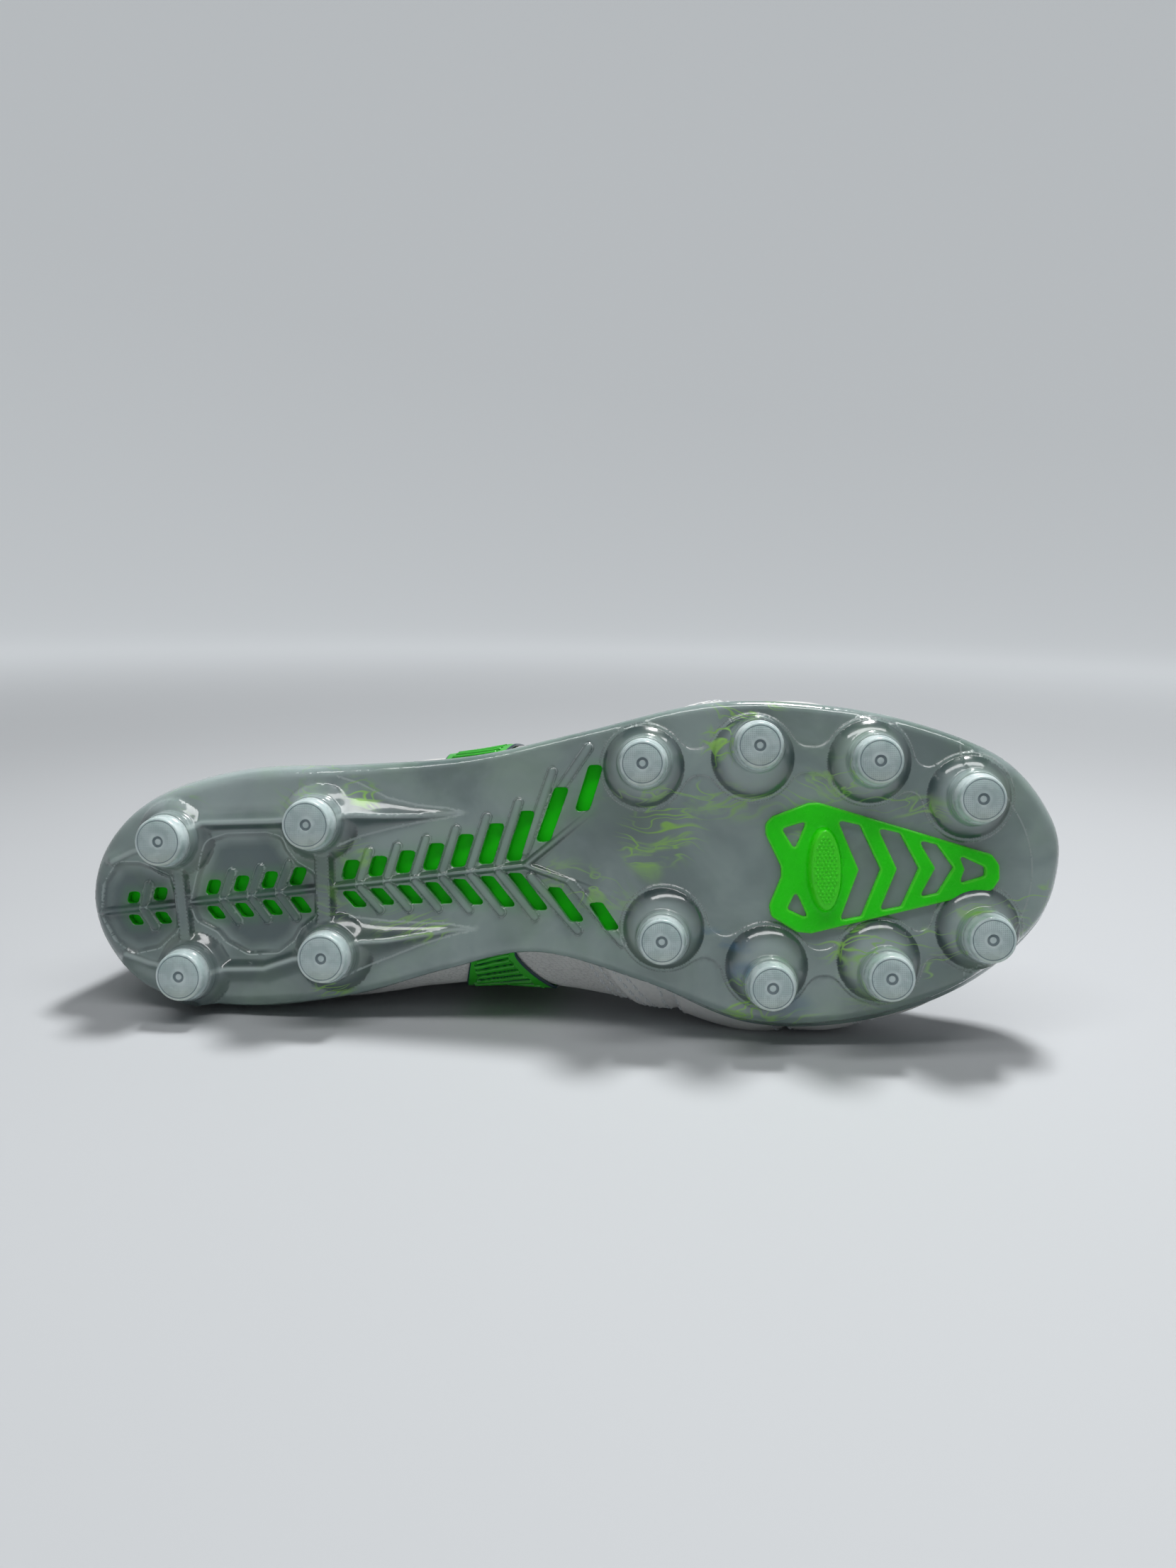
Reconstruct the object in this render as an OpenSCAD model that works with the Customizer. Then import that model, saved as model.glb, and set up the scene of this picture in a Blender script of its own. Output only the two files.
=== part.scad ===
// Right soccer cleat with a moulded-stud sole, lying on its medial side.
// Every shape is drawn on an upright shoe: x runs from heel to toe, y towards
// the medial side and z up, with z = 0 on the underside of the sole plate.
// lay() then puts the shoe down on its medial side.

/* [Sole] */
// Length of the sole from heel to toe
sole_length = 282; // [240:1:310]
// Thickness of the sole plate
plate_thick = 2.4; // [2:0.1:2.6]
// Angle by which the forefoot turns up
toe_spring = 4; // [2:0.5:5]
// Thickness of the green shank plate
shank_thick = 1.1; // [0.8:0.1:1.1]
// Height of the green forefoot insert above the plate
insert_rise = 1.6; // [1:0.1:2]

/* [Studs] */
// Height of a stud, from the plate to its tip
stud_height = 12; // [10:0.5:14]
// Radius of a forefoot stud at its tip
forefoot_tip_r = 6.2; // [5:0.1:7]
// Radius of a heel stud at its tip
heel_tip_r = 6.9; // [6:0.1:7.5]
// Height of the clear tip on each stud
tip_height = 4.4; // [3:0.1:5]

/* [Upper] */
// Thickness of the outer upper
upper_thick = 1.4; // [1:0.1:1.4]
// Thickness of the linings
lining_thick = 0.9; // [0.7:0.1:1]
// Thickness of the tongue
tongue_thick = 3.2; // [2.5:0.1:3.5]
// Pairs of eyelets
eyelet_pairs = 6; // [4:1:6]
// Thickness of the sockliner
sockliner_thick = 4; // [3:0.5:5]

/* [Resting pose] */
// Angle by which the sole faces up
lean = 7.9; // [5:0.1:12]
// Angle by which the toe is raised
toe_lift = 3.46; // [2:0.02:5]

/* [Hidden] */

MEDIAL = 1;
LATERAL = -1;
design_length = 282;
// Where the resting shoe's base centre lies before it is moved to the origin
rest_shift = [-141.588, -46.151, 36.192];

// Stations 0 to 12 run from the heel to the toe.
// Outline of the sole at each station, on both sides
lateral_edge = [
    [0, 3], [6, -14], [22, -27], [50, -34], [85, -34.5], [118, -36], [150, -42],
    [185, -49], [215, -48], [243, -42], [267.5, -31], [280.3, -14.5], [282, 0]
];
medial_edge = [
    [0, 3], [5, 20], [20, 33], [48, 37], [80, 33.5], [108, 26], [135, 21],
    [165, 29.5], [195, 41], [225, 41], [254, 32], [275, 16], [282, 0]
];
// Ridge of the foot: x, y and height
ridge = [
    [33, 2, 94], [37, 2, 94], [48, 2, 94], [70, 1, 100], [96, 1, 112],
    [118, 0, 98], [143, -1, 83], [172, 0, 67], [200, 0, 53], [222, 0, 43],
    [240, 0, 36], [252, 0, 31.5], [257, 0, 30]
];
// How far the upper bulges past the sole: lateral, medial, and at what height
belly = [
    [-2.2, -2.2, 12], [-2.2, -2.2, 12], [-2.2, -2, 12], [-1.5, -0.5, 13],
    [-0.5, 3, 16], [0.5, 8, 19], [0.3, 13, 19], [-0.3, 9, 17], [-0.2, 5, 15],
    [-0.2, 4, 13], [-0.3, 2.5, 12], [-0.3, 1, 11], [0, 0, 11]
];
// Height of the sole's rim, radius of its lower edge, and how far inside the
// outline the upper is seated, at each station
rim = [
    [25, 7, 4], [24, 7, 4], [20, 6, 4], [14, 5, 3.5], [8, 3.5, 3],
    [5.5, 2.6, 2.6], [4.5, 2.2, 2.4], [6, 2.6, 2.4], [8, 3, 2.4], [8, 3, 2.4],
    [9, 3.4, 2.6], [11, 4, 3], [12, 4.5, 3]
];
// Top edge of the quarters at each station, from 0 at the belly to 1 at the ridge
topline = [0.5, 0.48, 0.41, 0.3, 0.33, 0.68, 0.76, 0.80, 0.80, 0.8, 0.8, 0.8, 0.8];

LAST = len(ridge) - 1;
crease_x = 195;
seat_z = plate_thick + 0.1;
fold_power = 0.8;
heel_taper = 0.3;
layer_gap = 0.2;
throat_station = 7.5;
station_step = 0.25;
tongue_bend_station = 4.85;

function mix(a, b, t) = a + (b - a) * t;
function unit(v) = v / norm(v);
function ramp(t) = let (c = max(0, min(1, t))) c * c * (3 - 2 * c);
function spline(a, b, c, d, t) =
    0.5 * (2 * b + (c - a) * t + (2 * a - 5 * b + 4 * c - d) * t * t
        + (3 * b - a - 3 * c + d) * t * t * t);
function knot(own, other, i) = i < 0 ? other[-i] : i > LAST ? other[2 * LAST - i] : own[i];
function along(own, other, s) =
    let (i = min(floor(s), LAST - 1), t = s - i)
    spline(knot(own, other, i - 1), knot(own, other, i), knot(own, other, i + 1),
        knot(own, other, i + 2), t);
function edge(side, s) =
    side == LATERAL ? along(lateral_edge, medial_edge, s) : along(medial_edge, lateral_edge, s);
function level(table, s) = along(table, table, s);
function spring(x) = max(0, x - crease_x) * tan(toe_spring);

// A point of the upper: side, station, height from -1 at the sole through 0 at
// the belly to 1 at the ridge, and depth under the outer surface
function skin(side, s, v, depth) =
    let (
        e = edge(side, s),
        top = level(ridge, s),
        b = level(belly, s),
        axis = [top.x, top.y],
        away = unit(e - axis),
        wide = e + away * (b[side == LATERAL ? 0 : 1] - depth),
        foot = e - away * (level(rim, s)[2] + depth),
        low = v < 0,
        heel = 1 - ramp((s - 2.8) / 1.5),
        flare = low ? (1 - cos(180 * (v + 1))) / 2
            : mix(pow(cos(90 * v), fold_power), 1 - heel_taper * sin(90 * v), heel),
        plan = low ? mix(foot, wide, flare) : mix(axis, wide, flare),
        z = low ? mix(seat_z, b.z, v + 1) : b.z + (top.z - depth - b.z) * sin(90 * v)
    )
    [plan.x, plan.y, z + spring(plan.x)];
// The height value of the upper that lies z above the sole plate's underside
function value_at(s, z) =
    let (middle = level(belly, s).z, top = level(ridge, s).z)
    z < middle ? (z - seat_z) / (middle - seat_z) - 1 : asin((z - middle) / (top - middle)) / 90;
// The direction out of the upper, and a point at that height over it
function outward(side, s, v) =
    let (
        here = skin(side, s, v, 0),
        forward = skin(side, s + 0.05, v, 0) - here,
        upward = skin(side, s, v + 0.01, 0) - here
    )
    unit(cross(forward, upward)) * -side;
function over(side, s, v, height) = skin(side, s, v, 0) + outward(side, s, v) * height;
function steps(from, to, count) = [for (i = [0 : count]) mix(from, to, i / count)];
// The stations from one to another, a common step apart, so that the layers of
// the upper stay parallel
function stations(from, to) = steps(from, to, ceil((to - from) / station_step - 0.01));

// A closed sheet between two grids of points. A folded end has its two halves
// meeting on the same points.
module shell(outer, inner, fold_start = false, fold_end = false, flip = false) {
    rows = len(outer);
    cols = len(outer[0]);
    function index(layer, i, j) =
        let (folded = (fold_start && i == 0) || (fold_end && i == rows - 1))
        (layer * rows + i) * cols + (folded ? min(j, cols - 1 - j) : j);
    function quad(a, b, c, d) = [[a, b, c], [a, c, d]];
    outside = [for (i = [0 : rows - 2], j = [0 : cols - 2])
        each quad(index(0, i, j), index(0, i + 1, j), index(0, i + 1, j + 1), index(0, i, j + 1))];
    inside = [for (i = [0 : rows - 2], j = [0 : cols - 2])
        each quad(index(1, i, j), index(1, i, j + 1), index(1, i + 1, j + 1), index(1, i + 1, j))];
    sides = [for (i = [0 : rows - 2])
        each concat(
            quad(index(0, i, 0), index(1, i, 0), index(1, i + 1, 0), index(0, i + 1, 0)),
            quad(index(0, i, cols - 1), index(0, i + 1, cols - 1),
                index(1, i + 1, cols - 1), index(1, i, cols - 1)))];
    start = fold_start ? [] : [for (j = [0 : cols - 2])
        each quad(index(0, 0, j), index(0, 0, j + 1), index(1, 0, j + 1), index(1, 0, j))];
    end = fold_end ? [] : [for (j = [0 : cols - 2])
        each quad(index(0, rows - 1, j), index(1, rows - 1, j),
            index(1, rows - 1, j + 1), index(0, rows - 1, j + 1))];
    faces = concat(outside, inside, sides, start, end);
    polyhedron(
        points = concat([for (row = outer) each row], [for (row = inner) each row]),
        faces = flip ? [for (f = faces) [f[2], f[1], f[0]]] : faces);
}

// A sheet on one side of the upper. from, to and the depths are functions of
// the station and, for the depths, of the height too.
module side_sheet(side, rows, low, high, outer, inner, cols = 8) {
    function grid(depth) = [for (s = rows)
        [for (v = steps(low(s), high(s), cols)) skin(side, s, v, depth(s, v))]];
    shell(grid(outer), grid(inner), flip = side == LATERAL);
}

// A sheet that runs from the medial side over the ridge to the lateral side
module arch_sheet(rows, low, outer, inner, cols = 8, to_toe = false) {
    function half(side, s, depth) =
        [for (v = steps(low(s), 1, cols)) skin(side, s, v, depth(s, v))];
    function turned(row) = [for (j = [len(row) - 2 : -1 : 0]) row[j]];
    function grid(depth) = [for (s = rows)
        concat(half(MEDIAL, s, depth), turned(half(LATERAL, s, depth)))];
    shell(grid(outer), grid(inner), fold_end = to_toe);
}

// A sheet that runs round the heel, from the lateral side to the medial side
module heel_sheet(reach, low, high, outer, inner, cols = 6) {
    function grid(depth) = [for (q = stations(-reach, reach))
        let (s = abs(q), side = q < 0 ? LATERAL : MEDIAL)
        [for (v = steps(low(s), high(s), cols)) skin(side, s, v, depth(s, v))]];
    shell(grid(outer), grid(inner));
}

// A flat plate inside the shoe, from one height to another
module inner_plate(inset, z_low, z_high) {
    rows = steps(0, LAST, 30);
    function across(s, z) =
        let (top = level(ridge, s), axis = [top.x, top.y])
        [for (q = [-1, -0.5, 0, 0.5, 1])
            let (
                e = edge(q > 0 ? LATERAL : MEDIAL, s),
                rim_point = e - unit(e - axis) * (inset + level(rim, s)[2]),
                plan = mix(axis, rim_point, abs(q))
            )
            [plan.x, plan.y, z + spring(plan.x)]];
    shell([for (s = rows) across(s, z_low)], [for (s = rows) across(s, z_high)],
        fold_start = true, fold_end = true, flip = true);
}

// Puts its children on the underside of the sole, which turns up at the crease
module on_sole(place) {
    bent = place.x > crease_x;
    origin_x = bent ? crease_x : 0;
    translate([origin_x, 0, 0])
        rotate([0, bent ? -toe_spring : 0, 0])
            translate([place.x - origin_x, place.y, 0]) children();
}

// A straight bar on the underside, from one point to the other, that may taper
module sole_bar(from, to, width_from, width_to, depth) {
    side = unit([to.y - from.y, from.x - to.x]);
    translate([0, 0, -depth])
        linear_extrude(depth + sink)
            polygon([
                from + side * width_from / 2, to + side * width_to / 2,
                to - side * width_to / 2, from - side * width_from / 2
            ]);
}

/* Sole */

// Where each stud stands: x and y
forefoot_studs = [
    [168, -33], [199, -37], [231, -32], [258, -21],
    [172, 16], [201, 29], [233, 27], [260, 17]
];
heel_studs = [[28.5, -14], [72.5, -18], [33, 25], [75.5, 20]];
forefoot_dome_r = 10.7;
heel_dome_r = 10;
dome_depth = 3;
root_height = stud_height - tip_height;
sink = 1;

// The moulded root of a stud, which belongs to the sole plate
module stud_root(tip_r, dome_r) {
    top_r = tip_r + 1.4;
    rotate_extrude($fn = 48)
        polygon([
            [0, sink], [dome_r, sink], [dome_r, 0], [top_r + 1.6, -dome_depth],
            [top_r + 0.8, -dome_depth - 0.6], [top_r, -root_height], [0, -root_height]
        ]);
}

// The clear tip that is moulded onto a root
module stud_tip(tip_r) {
    edge_r = 0.5;
    ring_r = 1.6;
    ring_depth = 0.5;
    rotate_extrude($fn = 48)
        polygon([
            [0, -root_height], [tip_r + 0.7, -root_height], [tip_r, edge_r - stud_height],
            [tip_r - edge_r, -stud_height], [ring_r, -stud_height],
            [ring_r, ring_depth - stud_height], [0, ring_depth - stud_height]
        ]);
}

// Slots on both sides of the spine: x, length and slant towards the toe of the
// lateral one, then of the medial one, and the width of both
spine_gap = 1.7;
slots = concat(
    [[12, 3.4, 1, 3, 1.9, 3.6], [20.2, 3.8, 1.1, 3.5, 2.4, 3.9]],
    [for (i = [0 : 3])
        [36.5 + 8.6 * i, 4.3 + 0.3 * i, 1.6 + 0.2 * i, 3.8 + 0.3 * i, 2.8 + 0.2 * i, 3.9]],
    [for (i = [0 : 6])
        [78 + 8.2 * i, 5.6 + 0.24 * i * i, 2 + 0.08 * i * i, 4.7 + 0.17 * i * i,
            4 + 0.11 * i * i, 4.3]]
);
// Slots of the fork: x, y, length, slant and width
fork_slots = [
    [136, -11, -15.5, 6, 4.2], [147.5, -19.5, -13, 4.5, 4.2], [138.5, 2, 10, 7, 4.2],
    [150.5, 6.5, 8, 5, 4.2]
];

function spine_y(x) = 8 - 0.094 * x;
// The outline of one slot, which grows from its y by length, either way
function slot_outline(x, y, length, slant, width) = [
    [x, y], [x + width, y + sign(length) * 0.2],
    [x + width + slant, y + length], [x + slant, y + length]
];

module slot_cutter(x, y, length, slant, width) {
    translate([0, 0, -2 * sink])
        linear_extrude(plate_thick + 4 * sink) polygon(slot_outline(x, y, length, slant, width));
}

// The plate as a tray: its underside, its rounded lower edge and its rim
module sole_tray() {
    arc_steps = [0, 30, 60, 90];
    rim_out = 1.3;
    rim_in = 0.4;
    function half(side, s, top) =
        let (
            e = edge(side, s),
            a = level(ridge, s),
            axis = [a.x, a.y],
            away = unit(e - axis),
            r = level(rim, s),
            flat = e - away * r[1],
            foot = e - away * (r[2] - rim_in),
            wall = [for (h = [0.25, 0.5, 0.75, 1]) mix(seat_z, r[0], h)],
            shoulder = mix(r[1], r[0], 0.5)
        )
        top
            ? concat(
                [for (q = [0, 0.5, 0.8, 1])
                    let (p = mix(axis, foot, q)) [p.x, p.y, plate_thick + spring(p.x)]],
                [for (z = wall) skin(side, s, value_at(s, z), -rim_in)])
            : concat(
                [for (q = [0, 0.5])
                    let (p = mix(axis, flat, q)) [p.x, p.y, spring(p.x)]],
                [for (angle = arc_steps)
                    let (p = e - away * r[1] * (1 - sin(angle)))
                    [p.x, p.y, r[1] * (1 - cos(angle)) + spring(p.x)]],
                [skin(side, s, value_at(s, shoulder), -rim_out - 0.2),
                    skin(side, s, value_at(s, r[0]), -rim_out)]);
    function across(s, top) =
        let (m = half(MEDIAL, s, top), l = half(LATERAL, s, top))
        concat([for (j = [len(m) - 1 : -1 : 1]) m[j]], l);
    rows = stations(0, LAST);
    shell([for (s = rows) across(s, false)], [for (s = rows) across(s, true)],
        fold_start = true, fold_end = true, flip = true);
}

module spine() {
    spine_width = 1.6;
    spine_depth = 1.2;
    ends = [4, 133];
    split = [ends[1], spine_y(ends[1])];
    sole_bar([ends[0], spine_y(ends[0])], split, spine_width, spine_width, spine_depth);
    sole_bar(split, [157, -23], spine_width, spine_width, spine_depth);
    sole_bar(split, [160, 6], spine_width, spine_width, spine_depth);
}

module outsole_plate() {
    rail_width = 8;
    rail_depth = 3.2;
    fin_tips = [[115, -20.5], [118, 13]];
    color([0.42, 0.48, 0.47])
        difference() {
            union() {
                sole_tray();
                for (place = forefoot_studs)
                    on_sole(place) stud_root(forefoot_tip_r, forefoot_dome_r);
                for (place = heel_studs) on_sole(place) stud_root(heel_tip_r, heel_dome_r);
                for (i = [0, 2])
                    sole_bar(heel_studs[i], heel_studs[i + 1], rail_width, rail_width, rail_depth);
                for (i = [0, 1])
                    sole_bar(heel_studs[i], heel_studs[i + 2], rail_width / 2, rail_width / 2,
                        rail_depth / 2);
                for (i = [0, 1])
                    sole_bar(heel_studs[2 * i + 1], fin_tips[i], 13, 1, rail_depth);
                spine();
            }
            for (row = slots) {
                slot_cutter(row[0], spine_y(row[0]) - spine_gap, -row[1], row[2], row[5]);
                slot_cutter(row[0], spine_y(row[0]) + spine_gap, row[3], row[4], row[5]);
            }
            for (row = fork_slots) slot_cutter(row[0], row[1], row[2], row[3], row[4]);
        }
}

module shank_plate() {
    outline = [
        [9, 5], [14, -1], [35, -5], [70, -9], [98, -15], [124, -28], [150, -37],
        [161, -35], [161, -26], [150, -13], [140, -4], [152, 0], [167, 10], [162, 19],
        [145, 16], [118, 13], [70, 13], [35, 15], [14, 14], [9, 10]
    ];
    color([0.1, 0.72, 0.02])
        translate([0, 0, plate_thick + layer_gap])
            linear_extrude(shank_thick) polygon(outline);
}

module traction_insert() {
    outline = [
        [201, -15], [203, -17], [213, -20.5], [216, -20.5], [263, -5], [265, -2],
        [265, 2], [263, 5], [213, 16], [209, 15.5], [202, 11], [201.5, 8],
        [205, 0], [205, -3], [201, -12]
    ];
    chevrons = [[221, 14, 5.5, 6], [232, 11.5, 5, 6], [243, 8, 4.5, 5]];
    nub_at = [217, -2];
    nub_rise = 3.2;
    axis_y = -1.5;
    function ellipse(rx, ry) = [for (a = [0 : 15 : 345]) nub_at + [rx * cos(a), ry * sin(a)]];
    color([0.12, 0.78, 0.02])
        translate([crease_x, 0, 0])
            rotate([0, -toe_spring, 0])
                translate([-crease_x, 0, 0]) {
                    translate([0, 0, -insert_rise])
                        linear_extrude(insert_rise)
                            difference() {
                                polygon(outline);
                                for (c = chevrons)
                                    polygon([
                                        [c[0], axis_y - c[1]], [c[0] + c[3], axis_y - c[1] + 1.5],
                                        [c[0] + c[3] + c[2], axis_y],
                                        [c[0] + c[3], axis_y + c[1] - 1], [c[0], axis_y + c[1]],
                                        [c[0] + c[2], axis_y]
                                    ]);
                                polygon([[254, -5], [261, -1.5], [261, 1], [254, 3], [255.5, -1]]);
                                polygon([[206, -14], [212.5, -16], [209, -8]]);
                                polygon([[209, 4], [212.5, 12], [207, 9]]);
                            }
                    translate([0, 0, -insert_rise - 1]) linear_extrude(2) polygon(ellipse(5, 12));
                    translate([0, 0, -insert_rise - nub_rise])
                        linear_extrude(nub_rise + 1) polygon(ellipse(4, 11));
                }
}

/* Inside */

board_z = plate_thick + shank_thick + 2 * layer_gap;
board_thick = 1.4;
board_inset = 4.2;
liner_gap = 0.3;
sockliner_inset = 5.2;

module lasting_board() {
    color([0.85, 0.8, 0.7]) inner_plate(board_inset, board_z, board_z + board_thick);
}

module sockliner() {
    bottom = board_z + board_thick + liner_gap;
    color([0.2, 0.22, 0.22]) inner_plate(sockliner_inset, bottom, bottom + sockliner_thick);
}

/* Upper */

function constant(value) = function (s, v) value;
function flat(value) = function (s) value;

puff_thick = 0.8;
counter_thick = 1.1;
inner_start = upper_thick + layer_gap;
front_lining_depth = inner_start + puff_thick + layer_gap;
side_lining_depth = upper_thick + 0.5;
collar_bulge = 3.2;
collar_start = 0.06;
eyestay_width = 0.24;
facing_width = 0.12;
overlay_thick = 1;
overlay_gap = 0.3;

function quarter_top(s) = level(topline, s) - facing_width * ramp((s - 4.6) / 0.4);
// Depth of the quarter's linings, which lie behind the counter at the back
function back_depth(s) =
    mix(inner_start + counter_thick + layer_gap, side_lining_depth, ramp((s - 3.6) / 1));
// The collar lining bulges over the foam
function collar_depth(s, v) =
    let (rise = max(0, min(1, (v - collar_start) / (level(topline, s) - collar_start))))
    back_depth(s) + collar_bulge * sin(168 * rise) * (1 - ramp((s - 3.6) / 0.8));

module vamp() {
    color([0.93, 0.93, 0.92])
        arch_sheet(stations(throat_station, LAST), flat(-1), constant(0),
            constant(upper_thick), cols = 15, to_toe = true);
}

module toe_puff() {
    color([0.8, 0.78, 0.72])
        arch_sheet(stations(9.5, LAST), flat(-0.867), constant(inner_start),
            constant(inner_start + puff_thick), cols = 14, to_toe = true);
}

module vamp_lining() {
    color([0.75, 0.75, 0.74])
        arch_sheet(stations(throat_station, LAST), flat(-1), constant(front_lining_depth),
            constant(front_lining_depth + lining_thick), cols = 15, to_toe = true);
}

module quarter(side) {
    side_sheet(side, stations(0, throat_station), flat(-1), function (s) quarter_top(s),
        constant(0), constant(upper_thick), cols = 14);
}

module medial_quarter() {
    color([0.9, 0.9, 0.9]) quarter(MEDIAL);
}

module lateral_quarter() {
    color([0.88, 0.88, 0.88]) quarter(LATERAL);
}

module heel_stay() {
    color([0.9, 0.9, 0.88])
        heel_sheet(1, function (s) value_at(s, level(rim, s)[0] + 1), function (s) level(topline, s),
            constant(-overlay_thick - layer_gap), constant(-layer_gap), cols = 5);
}

module heel_counter() {
    color([0.7, 0.7, 0.66])
        heel_sheet(3.25, flat(-0.9), flat(0.18), constant(inner_start),
            constant(inner_start + counter_thick), cols = 8);
}

module collar_padding() {
    color([0.95, 0.9, 0.6])
        heel_sheet(4, flat(0.2), function (s) level(topline, s) - 0.02,
            constant(side_lining_depth),
            function (s, v) max(side_lining_depth + 0.5, collar_depth(s, v) - layer_gap), cols = 6);
}

module collar_lining() {
    color([0.3, 0.32, 0.32])
        heel_sheet(4.25, flat(collar_start), function (s) level(topline, s) - 0.01,
            function (s, v) collar_depth(s, v),
            function (s, v) collar_depth(s, v) + lining_thick, cols = 8);
}

module quarter_lining() {
    color([0.5, 0.52, 0.52])
        heel_sheet(throat_station, flat(-1),
            function (s) mix(collar_start - 0.02, 0.5, ramp((s - 4.3) / 0.4)),
            function (s, v) back_depth(s), function (s, v) back_depth(s) + lining_thick, cols = 8);
}

tongue_side = 0.16;
tongue_waist = 0.62;
tongue_front = 8;
tongue_tip = 3.7;
function tongue_depth(s) = 2.8 + 1.8 * ramp((s - 7) / 0.5);
function tongue_low(s) =
    s < tongue_bend_station
        ? mix(0.8, tongue_waist, ramp((s - tongue_tip + 0.2) / 0.8))
        : mix(tongue_waist, level(topline, s) - tongue_side, ramp((s - tongue_bend_station) / 0.6));

module tongue(rows) {
    arch_sheet(rows, function (s) tongue_low(s), function (s, v) tongue_depth(s),
        function (s, v) tongue_depth(s) + tongue_thick, cols = 6);
}

module tongue_lower() {
    color([0.88, 0.88, 0.87]) tongue(steps(tongue_bend_station, tongue_front, 13));
}

module tongue_upper() {
    color([0.86, 0.86, 0.85]) tongue(steps(tongue_tip, tongue_bend_station - 0.02, 6));
}

eyelet_hole_r = 2.7;
eyelet_edge = 0.065;
eyelet_first = 5.15;
eyelet_last = 7.1;
eyelet_stations = steps(eyelet_first, eyelet_last, eyelet_pairs - 1);

// Puts its children on the upper, with their z axis pointing out of it
module on_upper(side, s, v) {
    out = outward(side, s, v);
    translate(skin(side, s, v, 0)) rotate([0, acos(out.z), atan2(out.y, out.x)]) children();
}

module eyestay(side) {
    difference() {
        side_sheet(side, stations(4.75, throat_station),
            function (s) level(topline, s) - eyestay_width, function (s) level(topline, s),
            constant(-overlay_thick - overlay_gap), constant(-overlay_gap), cols = 5);
        for (s = eyelet_stations)
            on_upper(side, s, level(topline, s) - eyelet_edge)
                cylinder(r = eyelet_hole_r + 0.1, h = 12, center = true, $fn = 32);
    }
}

module medial_eyestay() {
    color([0.85, 0.85, 0.85]) eyestay(MEDIAL);
}

module lateral_eyestay() {
    color([0.85, 0.85, 0.85]) eyestay(LATERAL);
}

module eyelets(side) {
    flange_r = 3.8;
    flange = 0.4;
    hole_r = 2.4;
    for (s = eyelet_stations)
        on_upper(side, s, level(topline, s) - eyelet_edge)
            difference() {
                union() {
                    cylinder(r = eyelet_hole_r, h = overlay_thick + overlay_gap + flange, $fn = 32);
                    translate([0, 0, overlay_thick + overlay_gap + 0.15])
                        cylinder(r = flange_r, h = flange, $fn = 32);
                }
                translate([0, 0, -1]) cylinder(r = hole_r, h = 4, $fn = 32);
            }
}

module medial_eyelets() {
    color([0.5, 0.52, 0.52]) eyelets(MEDIAL);
}

module lateral_eyelets() {
    color([0.5, 0.52, 0.52]) eyelets(LATERAL);
}

module side_band(side, first, last) {
    side_sheet(side, stations(first, last), function (s) value_at(s, level(rim, s)[0] + 0.8),
        function (s) level(topline, s) - eyestay_width - 0.03,
        constant(-overlay_thick - overlay_gap), constant(-overlay_gap), cols = 13);
}

module medial_side_band() {
    color([0.1, 0.7, 0.05]) side_band(MEDIAL, 5.25, 6.25);
}

module lateral_side_band() {
    color([0.1, 0.7, 0.05]) side_band(LATERAL, 4.7, 5.3);
}

/* Lace */

lace_r = 1.1;
lace_sides = 8;
lace_over = 3.2;
lace_under = -1.35;
lace_tuck = 0.14;
// The height value on the tongue, beside the edge of the eyestay
function beside(s) = level(topline, s) + 0.05;
// The lace goes over the tongue at each pair of eyelets and changes pairs
// under the eyestay, from one side to the other in turn
lace_route = concat(
    [over(MEDIAL, eyelet_first + lace_tuck, 0.66, lace_under)],
    [for (i = [0 : eyelet_pairs - 1])
        let (
            s = eyelet_stations[i],
            start = i % 2 == 0 ? MEDIAL : LATERAL,
            v = level(topline, s) - eyelet_edge,
            crossing = [[v, lace_under], [v, 2], [v + 0.03, lace_over], [beside(s), 2.4],
                [mix(beside(s), 1, 0.5), 1.2]]
        )
        each concat(
            [for (c = crossing) over(start, s, c[0], c[1])],
            [skin(start, s, 1, -0.6)],
            [for (k = [len(crossing) - 1 : -1 : 0])
                over(-start, s, crossing[k][0], crossing[k][1])])],
    [over(eyelet_pairs % 2 == 0 ? MEDIAL : LATERAL, eyelet_last - lace_tuck, 0.72, lace_under)]
);

// A round tube along the points, carried without twist
module tube(points, r, sides) {
    count = len(points);
    function tangent(i) = unit(points[min(i + 1, count - 1)] - points[max(i - 1, 0)]);
    function squared(n, t) = unit(n - t * (n * t));
    function carried(i, n) =
        let (here = squared(n, tangent(i)))
        i == count - 1 ? [here] : concat([here], carried(i + 1, here));
    normals = carried(0, [1, 0.2, 0.1]);
    rings = [for (i = [0 : count - 1])
        let (t = tangent(i), n = normals[i], b = cross(t, n))
        each [for (k = [0 : sides - 1])
            let (a = 360 * k / sides) points[i] + r * (n * cos(a) + b * sin(a))]];
    walls = [for (i = [0 : count - 2], k = [0 : sides - 1])
        let (next = (k + 1) % sides, a = i * sides + k, b = i * sides + next)
        each [[a, a + sides, b], [b, a + sides, b + sides]]];
    far = (count - 1) * sides;
    caps = [for (k = [1 : sides - 2])
        each [[0, k, k + 1], [far, far + k + 1, far + k]]];
    polyhedron(points = rings, faces = concat(walls, caps));
}

module lace() {
    color([0.92, 0.92, 0.92]) tube(lace_route, lace_r, lace_sides);
}

// Puts the upright shoe down on its medial side, over the origin
module lay() {
    translate(rest_shift)
        rotate([-90 - lean, -toe_lift, 0])
            scale(sole_length / design_length) children();
}

module forefoot_stud(i) {
    color([0.8, 0.86, 0.84]) on_sole(forefoot_studs[i]) stud_tip(forefoot_tip_r);
}

module heel_stud(i) {
    color([0.8, 0.86, 0.84]) on_sole(heel_studs[i]) stud_tip(heel_tip_r);
}

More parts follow.
